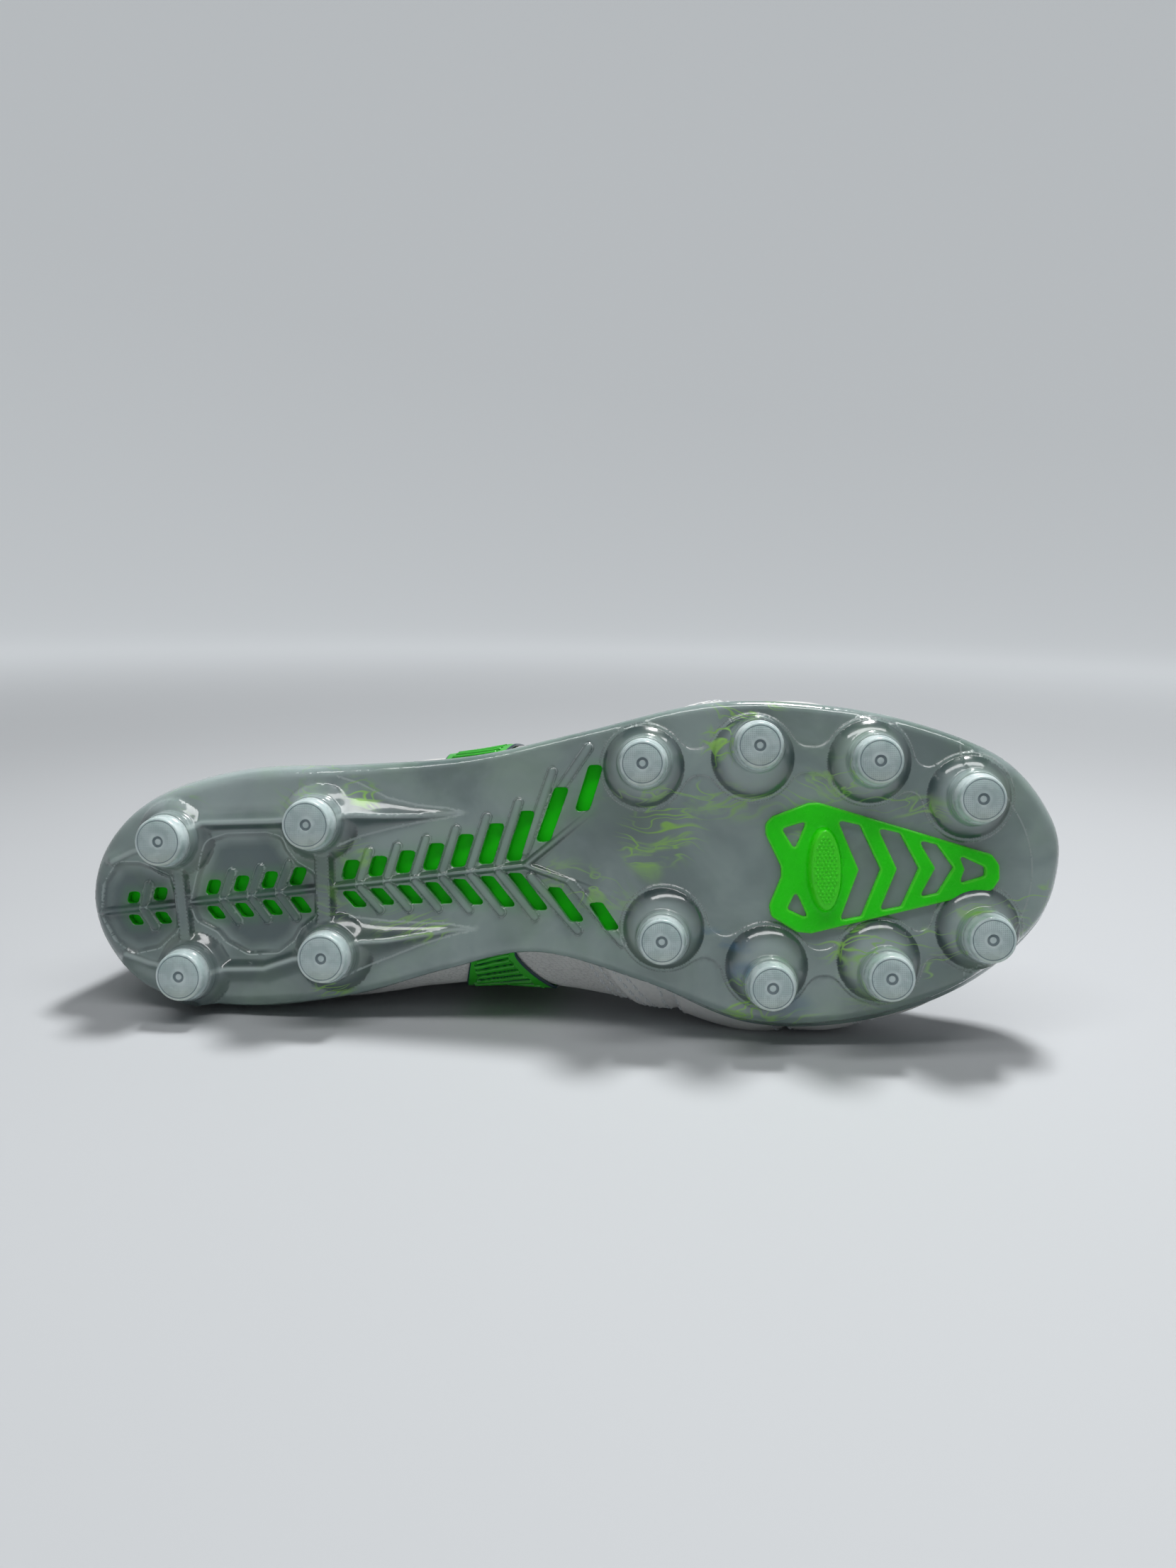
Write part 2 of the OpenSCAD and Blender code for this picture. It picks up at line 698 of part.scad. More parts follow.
lay() outsole_plate();
lay() shank_plate();
lay() traction_insert();
lay() forefoot_stud(0);  // forefoot_stud_1
lay() forefoot_stud(1);  // forefoot_stud_2
lay() forefoot_stud(2);  // forefoot_stud_3
lay() forefoot_stud(3);  // forefoot_stud_4
lay() forefoot_stud(4);  // forefoot_stud_5
lay() forefoot_stud(5);  // forefoot_stud_6
lay() forefoot_stud(6);  // forefoot_stud_7
lay() forefoot_stud(7);  // forefoot_stud_8
lay() heel_stud(0);  // heel_stud_1
lay() heel_stud(1);  // heel_stud_2
lay() heel_stud(2);  // heel_stud_3
lay() heel_stud(3);  // heel_stud_4
lay() lasting_board();
lay() sockliner();
lay() vamp();
lay() toe_puff();
lay() vamp_lining();
lay() medial_quarter();
lay() lateral_quarter();
lay() heel_stay();
lay() heel_counter();
lay() collar_padding();
lay() collar_lining();
lay() quarter_lining();
lay() tongue_lower();
lay() tongue_upper();
lay() medial_eyestay();
lay() lateral_eyestay();
lay() medial_eyelets();
lay() lateral_eyelets();
lay() lace();
lay() medial_side_band();
lay() lateral_side_band();
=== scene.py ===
"""Looks of the soccer cleat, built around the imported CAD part.

Shapes are made on the upright shoe, in millimetres: x from heel to toe, y to
the medial side, z up, z = 0 under the sole plate. world() lays the shoe down.
"""
import math
import bmesh
import bpy
import numpy as np
from mathutils import Matrix, Vector, geometry

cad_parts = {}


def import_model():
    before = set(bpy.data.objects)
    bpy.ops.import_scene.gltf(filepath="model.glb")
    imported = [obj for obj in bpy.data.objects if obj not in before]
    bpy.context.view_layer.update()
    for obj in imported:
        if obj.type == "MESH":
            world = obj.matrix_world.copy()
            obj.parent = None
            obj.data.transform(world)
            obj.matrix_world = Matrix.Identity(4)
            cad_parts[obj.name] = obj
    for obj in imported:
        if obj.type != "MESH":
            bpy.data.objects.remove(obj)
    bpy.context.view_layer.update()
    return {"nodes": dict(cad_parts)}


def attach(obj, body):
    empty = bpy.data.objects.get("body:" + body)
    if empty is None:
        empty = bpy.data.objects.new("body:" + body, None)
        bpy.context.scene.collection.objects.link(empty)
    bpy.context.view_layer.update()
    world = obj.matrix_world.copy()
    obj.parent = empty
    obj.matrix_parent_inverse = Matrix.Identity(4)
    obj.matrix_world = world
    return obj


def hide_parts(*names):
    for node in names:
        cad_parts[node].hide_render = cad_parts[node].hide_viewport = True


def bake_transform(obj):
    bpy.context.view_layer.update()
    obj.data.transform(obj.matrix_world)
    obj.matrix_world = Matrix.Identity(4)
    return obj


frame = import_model()

# ---------------------------------------------------------------- the shoe frame
LEAN = math.radians(7.9)  # how far the sole leans back
LIFT = math.radians(3.46)  # how far the toe is raised
SHIFT = np.array([-141.588, -46.151, 36.192])
MEDIAL, LATERAL = 1, -1
LAST = 12  # the toe's station; the heel's is 0
CREASE = 195.0  # from this x on, the sole bends up by TILT
TILT = math.radians(4)
PLATE = 2.4  # thickness of the sole plate
SEAT = PLATE + 0.1  # where the upper starts
UPPER = 1.4  # thickness of the upper's leather and fabric
SEAM_TOP = 7.5  # station where the vamp's seam meets the ridge


def turn_x(a):
    """Rotation about x."""
    c, s = math.cos(a), math.sin(a)
    return np.array([[1, 0, 0], [0, c, -s], [0, s, c]])


def turn_y(a):
    """Rotation about y."""
    c, s = math.cos(a), math.sin(a)
    return np.array([[c, 0, s], [0, 1, 0], [-s, 0, c]])


LAY = turn_y(-LIFT) @ turn_x(-(math.pi / 2 + LEAN))


def world(p):
    """Shoe millimetres to the part's metres, lying down."""
    return (np.asarray(p, float) @ LAY.T + SHIFT) / 1000


def both(own, other):
    """A table with a row of the other side's before and after it, so that curves run on round the ends."""
    return np.array([other[1]] + list(own) + [other[-2]], float)


# For each station: the sole's outline on the lateral and the medial side, x and y
LAT = [(0, 3), (6, -14), (22, -27), (50, -34), (85, -34.5), (118, -36), (150, -42),
       (185, -49), (215, -48), (243, -42), (267.5, -31), (280.3, -14.5), (282, 0)]
MED = [(0, 3), (5, 20), (20, 33), (48, 37), (80, 33.5), (108, 26), (135, 21),
       (165, 29.5), (195, 41), (225, 41), (254, 32), (275, 16), (282, 0)]
# The ridge on top of the foot: x, y, z
RIDGE = [(33, 2, 94), (37, 2, 94), (48, 2, 94), (70, 1, 100), (96, 1, 112), (118, 0, 98),
         (143, -1, 83), (172, 0, 67), (200, 0, 53), (222, 0, 43), (240, 0, 36),
         (252, 0, 31.5), (257, 0, 30)]
# How far the lateral and the medial side bulge past the outline, and the height at which they do
BELLY = [(-2.2, -2.2, 12), (-2.2, -2.2, 12), (-2.2, -2, 12), (-1.5, -.5, 13), (-.5, 3, 16),
         (.5, 8, 19), (.3, 13, 19), (-.3, 9, 17), (-.2, 5, 15), (-.2, 4, 13),
         (-.3, 2.5, 12), (-.3, 1, 11), (0, 0, 11)]
# Height of the plate's rim, radius of its rolled edge, and how far the upper's foot is tucked in
RIM = [(25, 7, 4), (24, 7, 4), (20, 6, 4), (14, 5, 3.5), (8, 3.5, 3), (5.5, 2.6, 2.6),
       (4.5, 2.2, 2.4), (6, 2.6, 2.4), (8, 3, 2.4), (8, 3, 2.4), (9, 3.4, 2.6),
       (11, 4, 3), (12, 4.5, 3)]
# How high the quarters reach, as a share of the way to the ridge
TOP = [(v,) for v in (.5, .48, .41, .3, .33, .68, .76, .8, .8, .8, .8, .8, .8)]
LAT_T, MED_T = both(LAT, MED), both(MED, LAT)
RIDGE_T, BELLY_T, RIM_T, TOP_T = (both(t, t) for t in (RIDGE, BELLY, RIM, TOP))


def soft(t):
    """A smooth step from 0 to 1."""
    t = np.clip(t, 0, 1)
    return t * t * (3 - 2 * t)


def along(table, s):
    """Values of a station table at stations s, on a Catmull-Rom curve."""
    s = np.asarray(s, float)
    i = np.clip(np.floor(s).astype(int), 0, LAST - 1)
    t = (s - i)[..., None]
    a, b, c, d = (table[i + k] for k in range(4))
    return .5 * (2 * b + (c - a) * t + (2 * a - 5 * b + 4 * c - d) * t ** 2
                 + (3 * b - a - 3 * c + d) * t ** 3)


def edge(side, s):
    """The sole's outline."""
    side, s = np.broadcast_arrays(side, np.asarray(s, float))
    return np.where((side < 0)[..., None], along(LAT_T, s), along(MED_T, s))


def spring(x):
    """How far the sole has bent up at x."""
    return np.maximum(0, x - CREASE) * math.tan(TILT)


def skin(side, s, v, depth=0.0):
    """Points of the foot's surface, or depth under it. v is -1 at the sole, 0 where
    the side bulges most, and 1 on the ridge."""
    side, s, v, depth = np.broadcast_arrays(side, *(np.asarray(q, float) for q in (s, v, depth)))
    e, top, b, r = edge(side, s), along(RIDGE_T, s), along(BELLY_T, s), along(RIM_T, s)
    axis = top[..., :2]
    away = e - axis
    away = away / np.linalg.norm(away, axis=-1)[..., None]
    bulge = np.where(side < 0, b[..., 0], b[..., 1])
    wide = e + away * (bulge - depth)[..., None]
    foot = e - away * (r[..., 2] + depth)[..., None]
    heel = 1 - soft((s - 2.8) / 1.5)
    sn = np.sin(np.pi / 2 * np.maximum(v, 0))
    cs = np.maximum(np.cos(np.pi / 2 * np.maximum(v, 0)), 0) ** .8
    high = (cs * (1 - heel) + heel * (1 - .3 * sn))[..., None]
    low = ((1 - np.cos(np.pi * (np.minimum(v, 0) + 1))) / 2)[..., None]
    plan = np.where((v < 0)[..., None], foot + (wide - foot) * low, axis + (wide - axis) * high)
    z = np.where(v < 0, SEAT + (b[..., 2] - SEAT) * (v + 1),
                 b[..., 2] + (top[..., 2] - depth - b[..., 2]) * sn)
    return np.concatenate([plan, (z + spring(plan[..., 0]))[..., None]], -1)


def value_at(s, z):
    """The v that has height z."""
    mid, top = along(BELLY_T, s)[..., 2], along(RIDGE_T, s)[..., 2]
    up = np.arcsin(np.clip((z - mid) / (top - mid), 0, 1)) * 2 / np.pi
    return np.where(z < mid, (z - SEAT) / (mid - SEAT) - 1, up)


def outward(side, s, v):
    """Unit normals of the skin."""
    s = np.clip(s, 0.02, LAST - .06)
    v = np.clip(v, -.99, .985)
    here = skin(side, s, v)
    n = np.cross(skin(side, s + .05, v) - here, skin(side, s, v + .01) - here)
    n = n / np.linalg.norm(n, axis=-1)[..., None]
    return n * -np.asarray(side, float)[..., None]


def over(side, s, v, height):
    """Points at a height above the skin."""
    return skin(side, s, v) + outward(side, s, v) * np.asarray(height, float)[..., None]


# ---------------------------------------------------------------- meshes
def piece(name, verts, faces, mat, body="shoe", slot=None, stands_for=(), sharp=40, merge=False, **attrs):
    """A mesh given in shoe millimetres. attrs are point attributes."""
    verts = np.asarray(verts, float)
    mesh = bpy.data.meshes.new(name)
    mesh.from_pydata(world(verts).tolist(), [], [list(map(int, f)) for f in faces])
    for key, values in dict(shoe=verts, **attrs).items():
        values = np.asarray(values, np.float32)
        kind = "FLOAT_VECTOR" if values.ndim == 2 else "FLOAT"
        a = mesh.attributes.new(key, kind, "POINT")
        a.data.foreach_set("vector" if values.ndim == 2 else "value", values.ravel())
    bm = bmesh.new()
    bm.from_mesh(mesh)
    if merge:
        bmesh.ops.remove_doubles(bm, verts=bm.verts, dist=2e-6)
        bmesh.ops.delete(bm, geom=[v for v in bm.verts if not v.link_faces], context="VERTS")
    bmesh.ops.recalc_face_normals(bm, faces=bm.faces)
    bm.to_mesh(mesh)
    bm.free()
    mesh.polygons.foreach_set("use_smooth", [True] * len(mesh.polygons))
    mesh.set_sharp_from_angle(angle=math.radians(sharp))
    obj = bpy.data.objects.new(name, mesh)
    bpy.context.scene.collection.objects.link(obj)
    mesh.materials.append(mat)
    if body:
        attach(obj, body)
    if stands_for:
        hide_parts(*stands_for)
    return obj


def grid_faces(rows, cols, start=0, wrap_cols=False, flip=False):
    """Quads of a grid whose points are numbered row by row from start."""
    i = np.arange(rows - 1)[:, None]
    j = np.arange(cols if wrap_cols else cols - 1)[None, :]
    a = i * cols + j
    b = (i + 1) * cols + j
    c = (i + 1) * cols + (j + 1) % cols
    d = i * cols + (j + 1) % cols
    f = np.stack([a, b, c, d], -1).reshape(-1, 4) + start
    return f[:, ::-1] if flip else f


def inside(points, loop):
    """Whether each point lies in the closed loop."""
    x, y = points[:, 0], points[:, 1]
    res = np.zeros(len(points), bool)
    for (x0, y0), (x1, y1) in zip(loop, np.roll(loop, -1, 0)):
        if y0 == y1:
            continue
        hit = (y0 > y) != (y1 > y)
        res ^= hit & (x < (x1 - x0) * (y - y0) / (y1 - y0) + x0)
    return res


def rounded(loop, r, n=4):
    """The loop with its corners rounded."""
    loop = np.asarray(loop, float)
    out = []
    for i in range(len(loop)):
        p, a, b = loop[i], loop[i - 1], loop[(i + 1) % len(loop)]
        u, w = (a - p), (b - p)
        lu, lw = np.linalg.norm(u), np.linalg.norm(w)
        u, w = u / lu, w / lw
        half = math.acos(np.clip(u @ w, -1, 1)) / 2
        cut = min(r / math.tan(half), .45 * lu, .45 * lw)
        p0, p1 = p + u * cut, p + w * cut
        for k in range(n + 1):
            t = k / n
            out.append((1 - t) ** 2 * p0 + 2 * t * (1 - t) * p + t * t * p1)
    return np.array(out)


def resample(loop, step):
    """The closed loop with points about a step apart."""
    loop = np.asarray(loop, float)
    nxt = np.roll(loop, -1, 0)
    out = []
    for a, b in zip(loop, nxt):
        n = max(1, int(round(np.linalg.norm(b - a) / step)))
        out += [a + (b - a) * k / n for k in range(n)]
    return np.array(out)


def fill(loops, points):
    """Triangles of the first loop without the others. Returns points, faces and
    the index that each loop's points have."""
    coords = np.vstack(list(loops) + [points])
    edges, starts, n = [], [], 0
    for loop in loops:
        m = len(loop)
        starts.append(np.arange(n, n + m))
        edges += [(n + k, n + (k + 1) % m) for k in range(m)]
        n += m
    out = geometry.delaunay_2d_cdt([Vector(c) for c in coords], edges, [], 0, 1e-7)
    verts, faces, origin = np.array(out[0]), np.array(out[2]), out[3]
    where = np.full(len(coords), -1)
    for k, olds in enumerate(origin):
        for o in olds:
            where[o] = k
    mid = verts[faces].mean(1)
    keep = inside(mid, loops[0])
    for loop in loops[1:]:
        keep &= ~inside(mid, loop)
    return verts, faces[keep], [where[s] for s in starts]


# ---------------------------------------------------------------- the relief of the sole
# Centres of the forefoot studs, of the domes that they stand in, and of the heel studs
FORE = [(168, -33), (199, -37), (231, -32), (258, -21), (172, 16), (201, 29), (233, 27), (260, 17)]
DOMES = [(167.5, -31.7), (198, -33.5), (230, -31.5), (257, -21), (172, 14), (200.5, 25),
         (231.5, 24), (258.7, 15.5)]
HEELS = [(28.5, -14), (72.5, -18), (33, 25), (75.5, 20)]
SPINE_END = (133, -4.5)
SPINE = [((4, 7.6), SPINE_END), (SPINE_END, (157, -23)), (SPINE_END, (160, 6))]


def spine_y(x):
    """The spine's y: it runs a little askew."""
    return 8 - .094 * x


def slot_loop(x, y, length, slant, width=3.7):
    """A slanted slot from a corner beside the spine. length has a sign."""
    return np.array([(x, y), (x + width, y + math.copysign(.2, length)),
                     (x + width + slant, y + length), (x + slant, y + length)])


# Pairs of slots: x, length and slant of the lateral one, the same of the medial one, and width
rear = [(12, 3.4, 1, 3, 1.9, 3.6), (20.2, 3.8, 1.1, 3.5, 2.4, 3.9)]
middle = [(36.5 + 8.6 * i, 4.3 + .3 * i, 1.6 + .2 * i, 3.8 + .3 * i, 2.8 + .2 * i, 3.9) for i in range(4)]
front = [(78 + 8.2 * i, 5.6 + .24 * i * i, 2 + .08 * i * i, 4.7 + .17 * i * i, 4 + .11 * i * i, 4.3)
         for i in range(7)]
SLOTS = []
for x, lu, su, ll, sl, wide in rear + middle + front:
    SLOTS.append(slot_loop(x, spine_y(x) - 1.7, -lu, su, wide))
    SLOTS.append(slot_loop(x, spine_y(x) + 1.7, ll, sl, wide))
for x, y, l, sl in [(136, -11, -15.5, 6), (147.5, -19.5, -13, 4.5), (138.5, 2, 10, 7), (150.5, 6.5, 8, 5)]:
    SLOTS.append(slot_loop(x, y, l, sl, 4.2))
# Ribs between the slots: start, end
RIBS = []
for group in (rear, middle, front):
    for one, two in zip(group, group[1:]):
        m = (one[0] + one[5] + two[0]) / 2
        y = spine_y(m)
        _, lu, su, ll, sl, _ = (np.array(one) + two) / 2
        RIBS.append(((m, y - 1.2), (m + su * 1.4, y - 1.8 - lu * 1.3)))
        RIBS.append(((m, y + 1.2), (m + sl * 1.35, y + 1.8 + ll * 1.25)))
RIBS += [((133, -8.5), (141.5, -31)), ((141.5, -23), (152, -37.5)), ((134.5, -1), (147.5, 14.5)),
         ((146, 1), (160, 18))]


def seg(x, y, a, b):
    """Distance from the line between a and b, and the share of the way along it."""
    ax, ay = a
    dx, dy = b[0] - ax, b[1] - ay
    t = np.clip(((x - ax) * dx + (y - ay) * dy) / (dx * dx + dy * dy), 0, 1)
    return np.hypot(x - ax - t * dx, y - ay - t * dy), t


def smax(a, b, k):
    """The larger one, with a rounded change over k."""
    return np.maximum(a, b) + np.maximum(k - np.abs(a - b), 0) ** 2 / (4 * k)


def smin(a, b, k):
    """The smaller one, likewise."""
    return -smax(-a, -b, k)


def dome(r, radius, height, power=.6):
    """Height of a dome at distance r from its centre."""
    return height * np.clip(1 - (r / radius) ** 2, 0, 1) ** power


def pads(x, y):
    """Signed distance from the edge of the pads that the forefoot studs stand on."""
    pad = np.full(np.shape(x), 99.)
    for row in (DOMES[:4], DOMES[4:]):
        for c in row:
            pad = smin(pad, np.hypot(x - c[0], y - c[1]) - 12.4, 3.5)
        for a, b in zip(row, row[1:]):
            pad = smin(pad, seg(x, y, a, b)[0] - 3.6, 3.5)
    return pad


# Outlines of the sunk panels of the heel
POCKETS = [[(39, -13.3), (44.6, -14.9), (56.7, -15), (61.2, -13.7), (62.4, -10.3), (65.5, -6.2), (71, -3.1),
            (70.8, 9.4), (65.8, 12.9), (63.7, 16.4), (58.9, 19.9), (49.7, 20.3), (43.3, 16.7), (40.6, 13.5),
            (34.4, 10.3), (32.8, 5.4), (35, -2.7)],
           [(5.6, -.5), (10.5, -7.1), (17.1, -7), (26.6, -3.2), (28.2, 4.4), (28.3, 13), (22.1, 18.3),
            (14.9, 19.7), (8.4, 16), (4.5, 8.7)]]
POCKETS = [[tuple(q) for q in rounded(loop, 3.2, 4)] for loop in POCKETS]
# Crests of the heel: points, height, reach towards the lateral and the medial side
CRESTS = [([(34, -17), (38, -18.5), (60, -18.7), (67, -19)], 4.6, 4.6, 2.1),
          ([(39, 25), (44, 24.4), (55, 24.4), (64, 21.6), (69, 21)], 4.6, 2.1, 4.2),
          ([(23, -12.5), (15, -10.3), (9, -7.5)], 2.6, 3.4, 1.7),
          ([(27, 24.5), (19, 22.8), (12, 20)], 2.6, 1.7, 3.4)]
# Bars across the heel: ends, half width
HEEL_BARS = [((29.5, -7), (31.3, 17), 2.1), ((73.7, -9), (73.7, 12.5), 2.5)]
# Fins: x, the crest's y, and half widths on the lateral and the medial side
FINS = [np.array([(76, -19.6, 12, 9.5), (80, -19.8, 10.8, 8), (84.6, -19.9, 9.3, 6.3),
                  (93.3, -19.4, 5.2, 3.8), (102.1, -19.2, 3.1, 2), (111, -19.6, 1.6, 1.1),
                  (115.4, -19.8, .3, .3)]),
        np.array([(78, 18, 9.5, 9.5), (82.2, 16.6, 6.6, 8.8), (91.9, 16.5, 5.3, 5.4), (100.9, 15.4, 3.6, 3.1),
                  (110, 14.2, 1.9, 1.5), (117.5, 13.8, .3, .3)])]


def pocket(x, y):
    """Signed distance from the edge of the two sunk panels of the heel."""
    best = np.full(np.shape(x), 99.)
    for loop in POCKETS:
        ends = list(zip(loop, loop[1:] + loop[:1]))
        d = np.min([seg(x, y, a, b)[0] for a, b in ends], 0)
        odd = np.zeros(np.shape(x), bool)
        for (ax, ay), (bx, by) in ends:
            if ay != by:
                odd ^= ((ay > y) != (by > y)) & (x < (bx - ax) * (y - ay) / (by - ay) + ax)
        best = np.minimum(best, np.where(odd, -d, d))
    return best + .8


def fin(x, y, rows):
    """Height of a fin, and signed distance from its edge."""
    crest, lat, med = (np.interp(x, rows[:, 0], rows[:, k]) for k in (1, 2, 3))
    d = y - crest
    w = np.where(d < 0, lat, med)
    t = np.clip((x - rows[0, 0]) / (rows[-1, 0] - rows[0, 0]), 0, 1)
    h = np.clip(1 - np.sqrt(d ** 2 + .2) / w, 0, 1) ** 1.5 * (5.6 * (1 - t) ** 1.15 + .5)
    past_end = np.where((t <= .06) | (t > .985), 50, 0)
    return h * soft((x - rows[0, 0]) / 5) * (x < rows[-1, 0]), np.abs(d) - w + past_end


def lay_on(h, g, k):
    """Relief h with the shape g laid on it."""
    return smax(h, g, k * soft(g / k) + 1e-3)


def crest(x, y, points, high, lat, med):
    """Height of a crest along points, which falls off within its own reach on each side."""
    d = np.full(np.shape(x), 99.)
    side = np.ones(np.shape(x))
    t = np.zeros(np.shape(x))
    for k, (a, b) in enumerate(zip(points, points[1:])):
        d2, t2 = seg(x, y, a, b)
        near = d2 < d
        away = np.sign((y - a[1]) * (b[0] - a[0]) - (x - a[0]) * (b[1] - a[1])) * np.sign(b[0] - a[0])
        d, side = np.where(near, d2, d), np.where(near, away, side)
        t = np.where(near, (k + t2) / (len(points) - 1), t)
    reach = np.where(side < 0, lat, med)
    return high * np.exp(-(np.sqrt(d ** 2 + .9) - .95) / reach) * (1 - .16 * np.sin(np.pi * t))


def heel_relief(x, y):
    """Sunk panels in a low deck, sharp crests and fins, domes, and flat bars."""
    h = 1.1 * soft((80 - x) / 8) * soft(.3 + pocket(x, y) / 2.0)
    for row in CRESTS:
        h = lay_on(h, np.maximum(crest(x, y, *row) - .35, 0), .5)
    for rows in FINS:
        h = lay_on(h, fin(x, y, rows)[0], .4)
    for c in HEELS:
        h = lay_on(h, dome(np.hypot(x - c[0], y - c[1]), 12, 6.4, .85), 1.4)
    for a, b, half in HEEL_BARS:
        d, _ = seg(x, y, a, b)
        h = lay_on(h, 2.9 * soft((half + .7 - d) / 1.2) - .3 * soft((half - .6 - d) / .5), .5)
    return h


def relief(x, y):
    """How far the underside stands out at each point, in millimetres."""
    h = .6 * soft(.5 - pads(x, y) / .5)
    for c in DOMES:
        h = lay_on(h, dome(np.hypot(x - c[0], y - c[1]), 11.6, 5.2), .5)
    h = np.maximum(h, heel_relief(x, y))
    for a, b in SPINE:
        d, t = seg(x, y, a, b)
        fade = 1 if a[0] < 100 else (1 - t)
        h = lay_on(h, 1.5 * soft((1.5 - d) / 1.3) * fade, .3)
    for a, b in RIBS:
        h = lay_on(h, dome(seg(x, y, a, b)[0], 1.5, 1.0, .6), .1)
    return h + .35 * soft(.5 + toe_line(x, y) / .4)


def toe_line(x, y):
    """Zero on the arc behind the toe, and above zero in front of it."""
    return np.minimum(np.hypot(x - 243, y + 1) - 31, x - 255)


def line_fields(x, y):
    """Fields that are zero along the edges of the pads, ribs, toe arc, pockets and fins, where a painted
    highlight line goes.
    """
    ribs = np.full(np.shape(x), 99.)
    for a, b in RIBS:
        ribs = np.minimum(ribs, seg(x, y, a, b)[0] - 1.35)
    fins = np.minimum(*(np.abs(fin(x, y, rows)[1]) for rows in FINS)) - .15
    return [pads(x, y), ribs, toe_line(x, y), pocket(x, y) - 1.2, fins]


def sides_of(q):
    """The side of each q, which is a station with the sign of its side."""
    return np.where(q < 0, LATERAL, MEDIAL)


N_RING = 600
ring_q = np.linspace(-LAST, LAST, N_RING, endpoint=False)
ring_side, ring_s = sides_of(ring_q), np.abs(ring_q)
OUTLINE = edge(ring_side, ring_s)
# The same outline with closer points, their normals and the radius of the rolled edge
fine_q = np.linspace(-LAST, LAST, 3000, endpoint=False)
fine = edge(sides_of(fine_q), np.abs(fine_q))
tangent = np.roll(fine, -1, 0) - np.roll(fine, 1, 0)
tangent /= np.linalg.norm(tangent, axis=1)[:, None]
normal = np.stack([tangent[:, 1], -tangent[:, 0]], 1)
if ((fine - (140, 0)) * normal).sum(1).mean() < 0:
    normal = -normal
fine_r = along(RIM_T, np.abs(fine_q))[:, 1]


def underside(xy):
    """Base height, direction out of the sole and distance from the outline."""
    near = np.concatenate([((part[:, None] - fine[None]) ** 2).sum(-1).argmin(1)
                           for part in np.array_split(xy, max(1, len(xy) // 2000))])
    d = np.abs(((xy - fine[near]) * normal[near]).sum(1))
    r = fine_r[near]
    k = np.clip(1 - d / r, 0, 1)
    angle = np.arcsin(k)
    z = r * (1 - np.cos(angle))
    out = np.concatenate([normal[near] * k[:, None], -np.cos(angle)[:, None]], 1)
    bend = (xy[:, 0] > CREASE) * math.tan(TILT)
    out[:, 0] += bend * np.cos(angle)
    return z, out, d


def on_underside(xy):
    """Points of the underside, and how far each stands out."""
    z, out, d = underside(xy)
    h = relief(xy[:, 0], xy[:, 1]) * soft(d / 2.5)
    base = np.column_stack([xy, z + spring(xy[:, 0])])
    return base + out * h[:, None], h


def on_sole(place, local):
    """Points given as x and y from a stud's centre and how far out of the sole."""
    local = np.asarray(local, float)
    if place[0] <= CREASE:
        return np.column_stack([place[0] + local[:, 0], place[1] + local[:, 1], -local[:, 2]])
    p = np.column_stack([place[0] - CREASE + local[:, 0], place[1] + local[:, 1], -local[:, 2]])
    return p @ turn_y(-TILT).T + (CREASE, 0, 0)


SIDES = 72
turn = np.linspace(0, 2 * np.pi, SIDES, endpoint=False)
circle = np.column_stack([np.cos(turn), np.sin(turn)])
# Each stud: centre and radius at its tip. Its root in the plate is ROOT wider and ROOT_TOP high
STUDS = [(p, 6.2) for p in FORE] + [(p, 6.9) for p in HEELS]
ROOT, ROOT_TOP = 2.1, 7.6
# Rings of a root: share of its height, and how much wider than the tip it is there
ROOT_RINGS = [(.06, 1.75), (.14, 1.55), (.25, 1.42), (.45, 1.36), (.62, 1.34), (.66, 1.24), (.7, 1.22),
              (.86, 1.2), (.89, 1.08), (.97, 1.05), (1.0, .9)]


def detail_points(slots):
    """Rings of points along the rolled edge, round domes and slots, and along crests and the edges that
    line_fields gives.
    """
    extra = []
    for angle in np.radians([80, 70, 60, 50, 40, 30, 20, 10, 0]):
        d = fine_r * (1 - math.sin(angle))
        p = (fine - normal * d[:, None])[::5]
        extra.append(p)
    for c in DOMES:
        for r in (12.9, 12.5, 12.1, 11.7, 11.45, 11.1, 10.6, 10, 9.3, 8.5):
            n = int(2 * np.pi * r / .75)
            a = np.linspace(0, 2 * np.pi, n, endpoint=False)
            extra.append(np.array(c) + r * np.column_stack([np.cos(a), np.sin(a)]))
    for s in slots:
        mid = s.mean(0)
        n = np.roll(s, -1, 0) - np.roll(s, 1, 0)
        n = np.column_stack([n[:, 1], -n[:, 0]]) / np.linalg.norm(n, axis=1)[:, None]
        if ((s - mid) * n).sum() < 0:
            n = -n
        extra.append(s + n * .22)
        extra.append(s + n * .5)
    crests = [points for points, *_ in CRESTS] + [rows[:, :2] for rows in FINS]
    for line in crests + SPINE:
        line = np.array(line, float)
        walk = np.concatenate([[0], np.cumsum(np.linalg.norm(np.diff(line, axis=0), axis=1))])
        t = np.arange(0, walk[-1], .45)
        p = np.column_stack([np.interp(t, walk, q) for q in line.T])
        n = np.gradient(p, axis=0)
        n = np.column_stack([-n[:, 1], n[:, 0]]) / np.linalg.norm(n, axis=1)[:, None]
        extra += [p + n * off for off in (-1.4, -.9, -.45, 0, .45, .9, 1.4)]
    lx, ly = (g.ravel() for g in np.meshgrid(np.arange(0, 283, .5), np.arange(-50, 42, .5)))
    fields, dx, dy = (line_fields(*q) for q in ((lx, ly), (lx + .05, ly), (lx, ly + .05)))
    for f, fx, fy in zip(fields, dx, dy):
        gradient = np.column_stack([fx - f, fy - f]) / .05
        size = (gradient ** 2).sum(1)
        near = (np.abs(f) < .6) & (size > .3)
        for aim in (-.3, 0, .3):
            move = (f - aim)[near] / size[near]
            extra.append(np.column_stack([lx, ly])[near] - gradient[near] * move[:, None])
    return extra


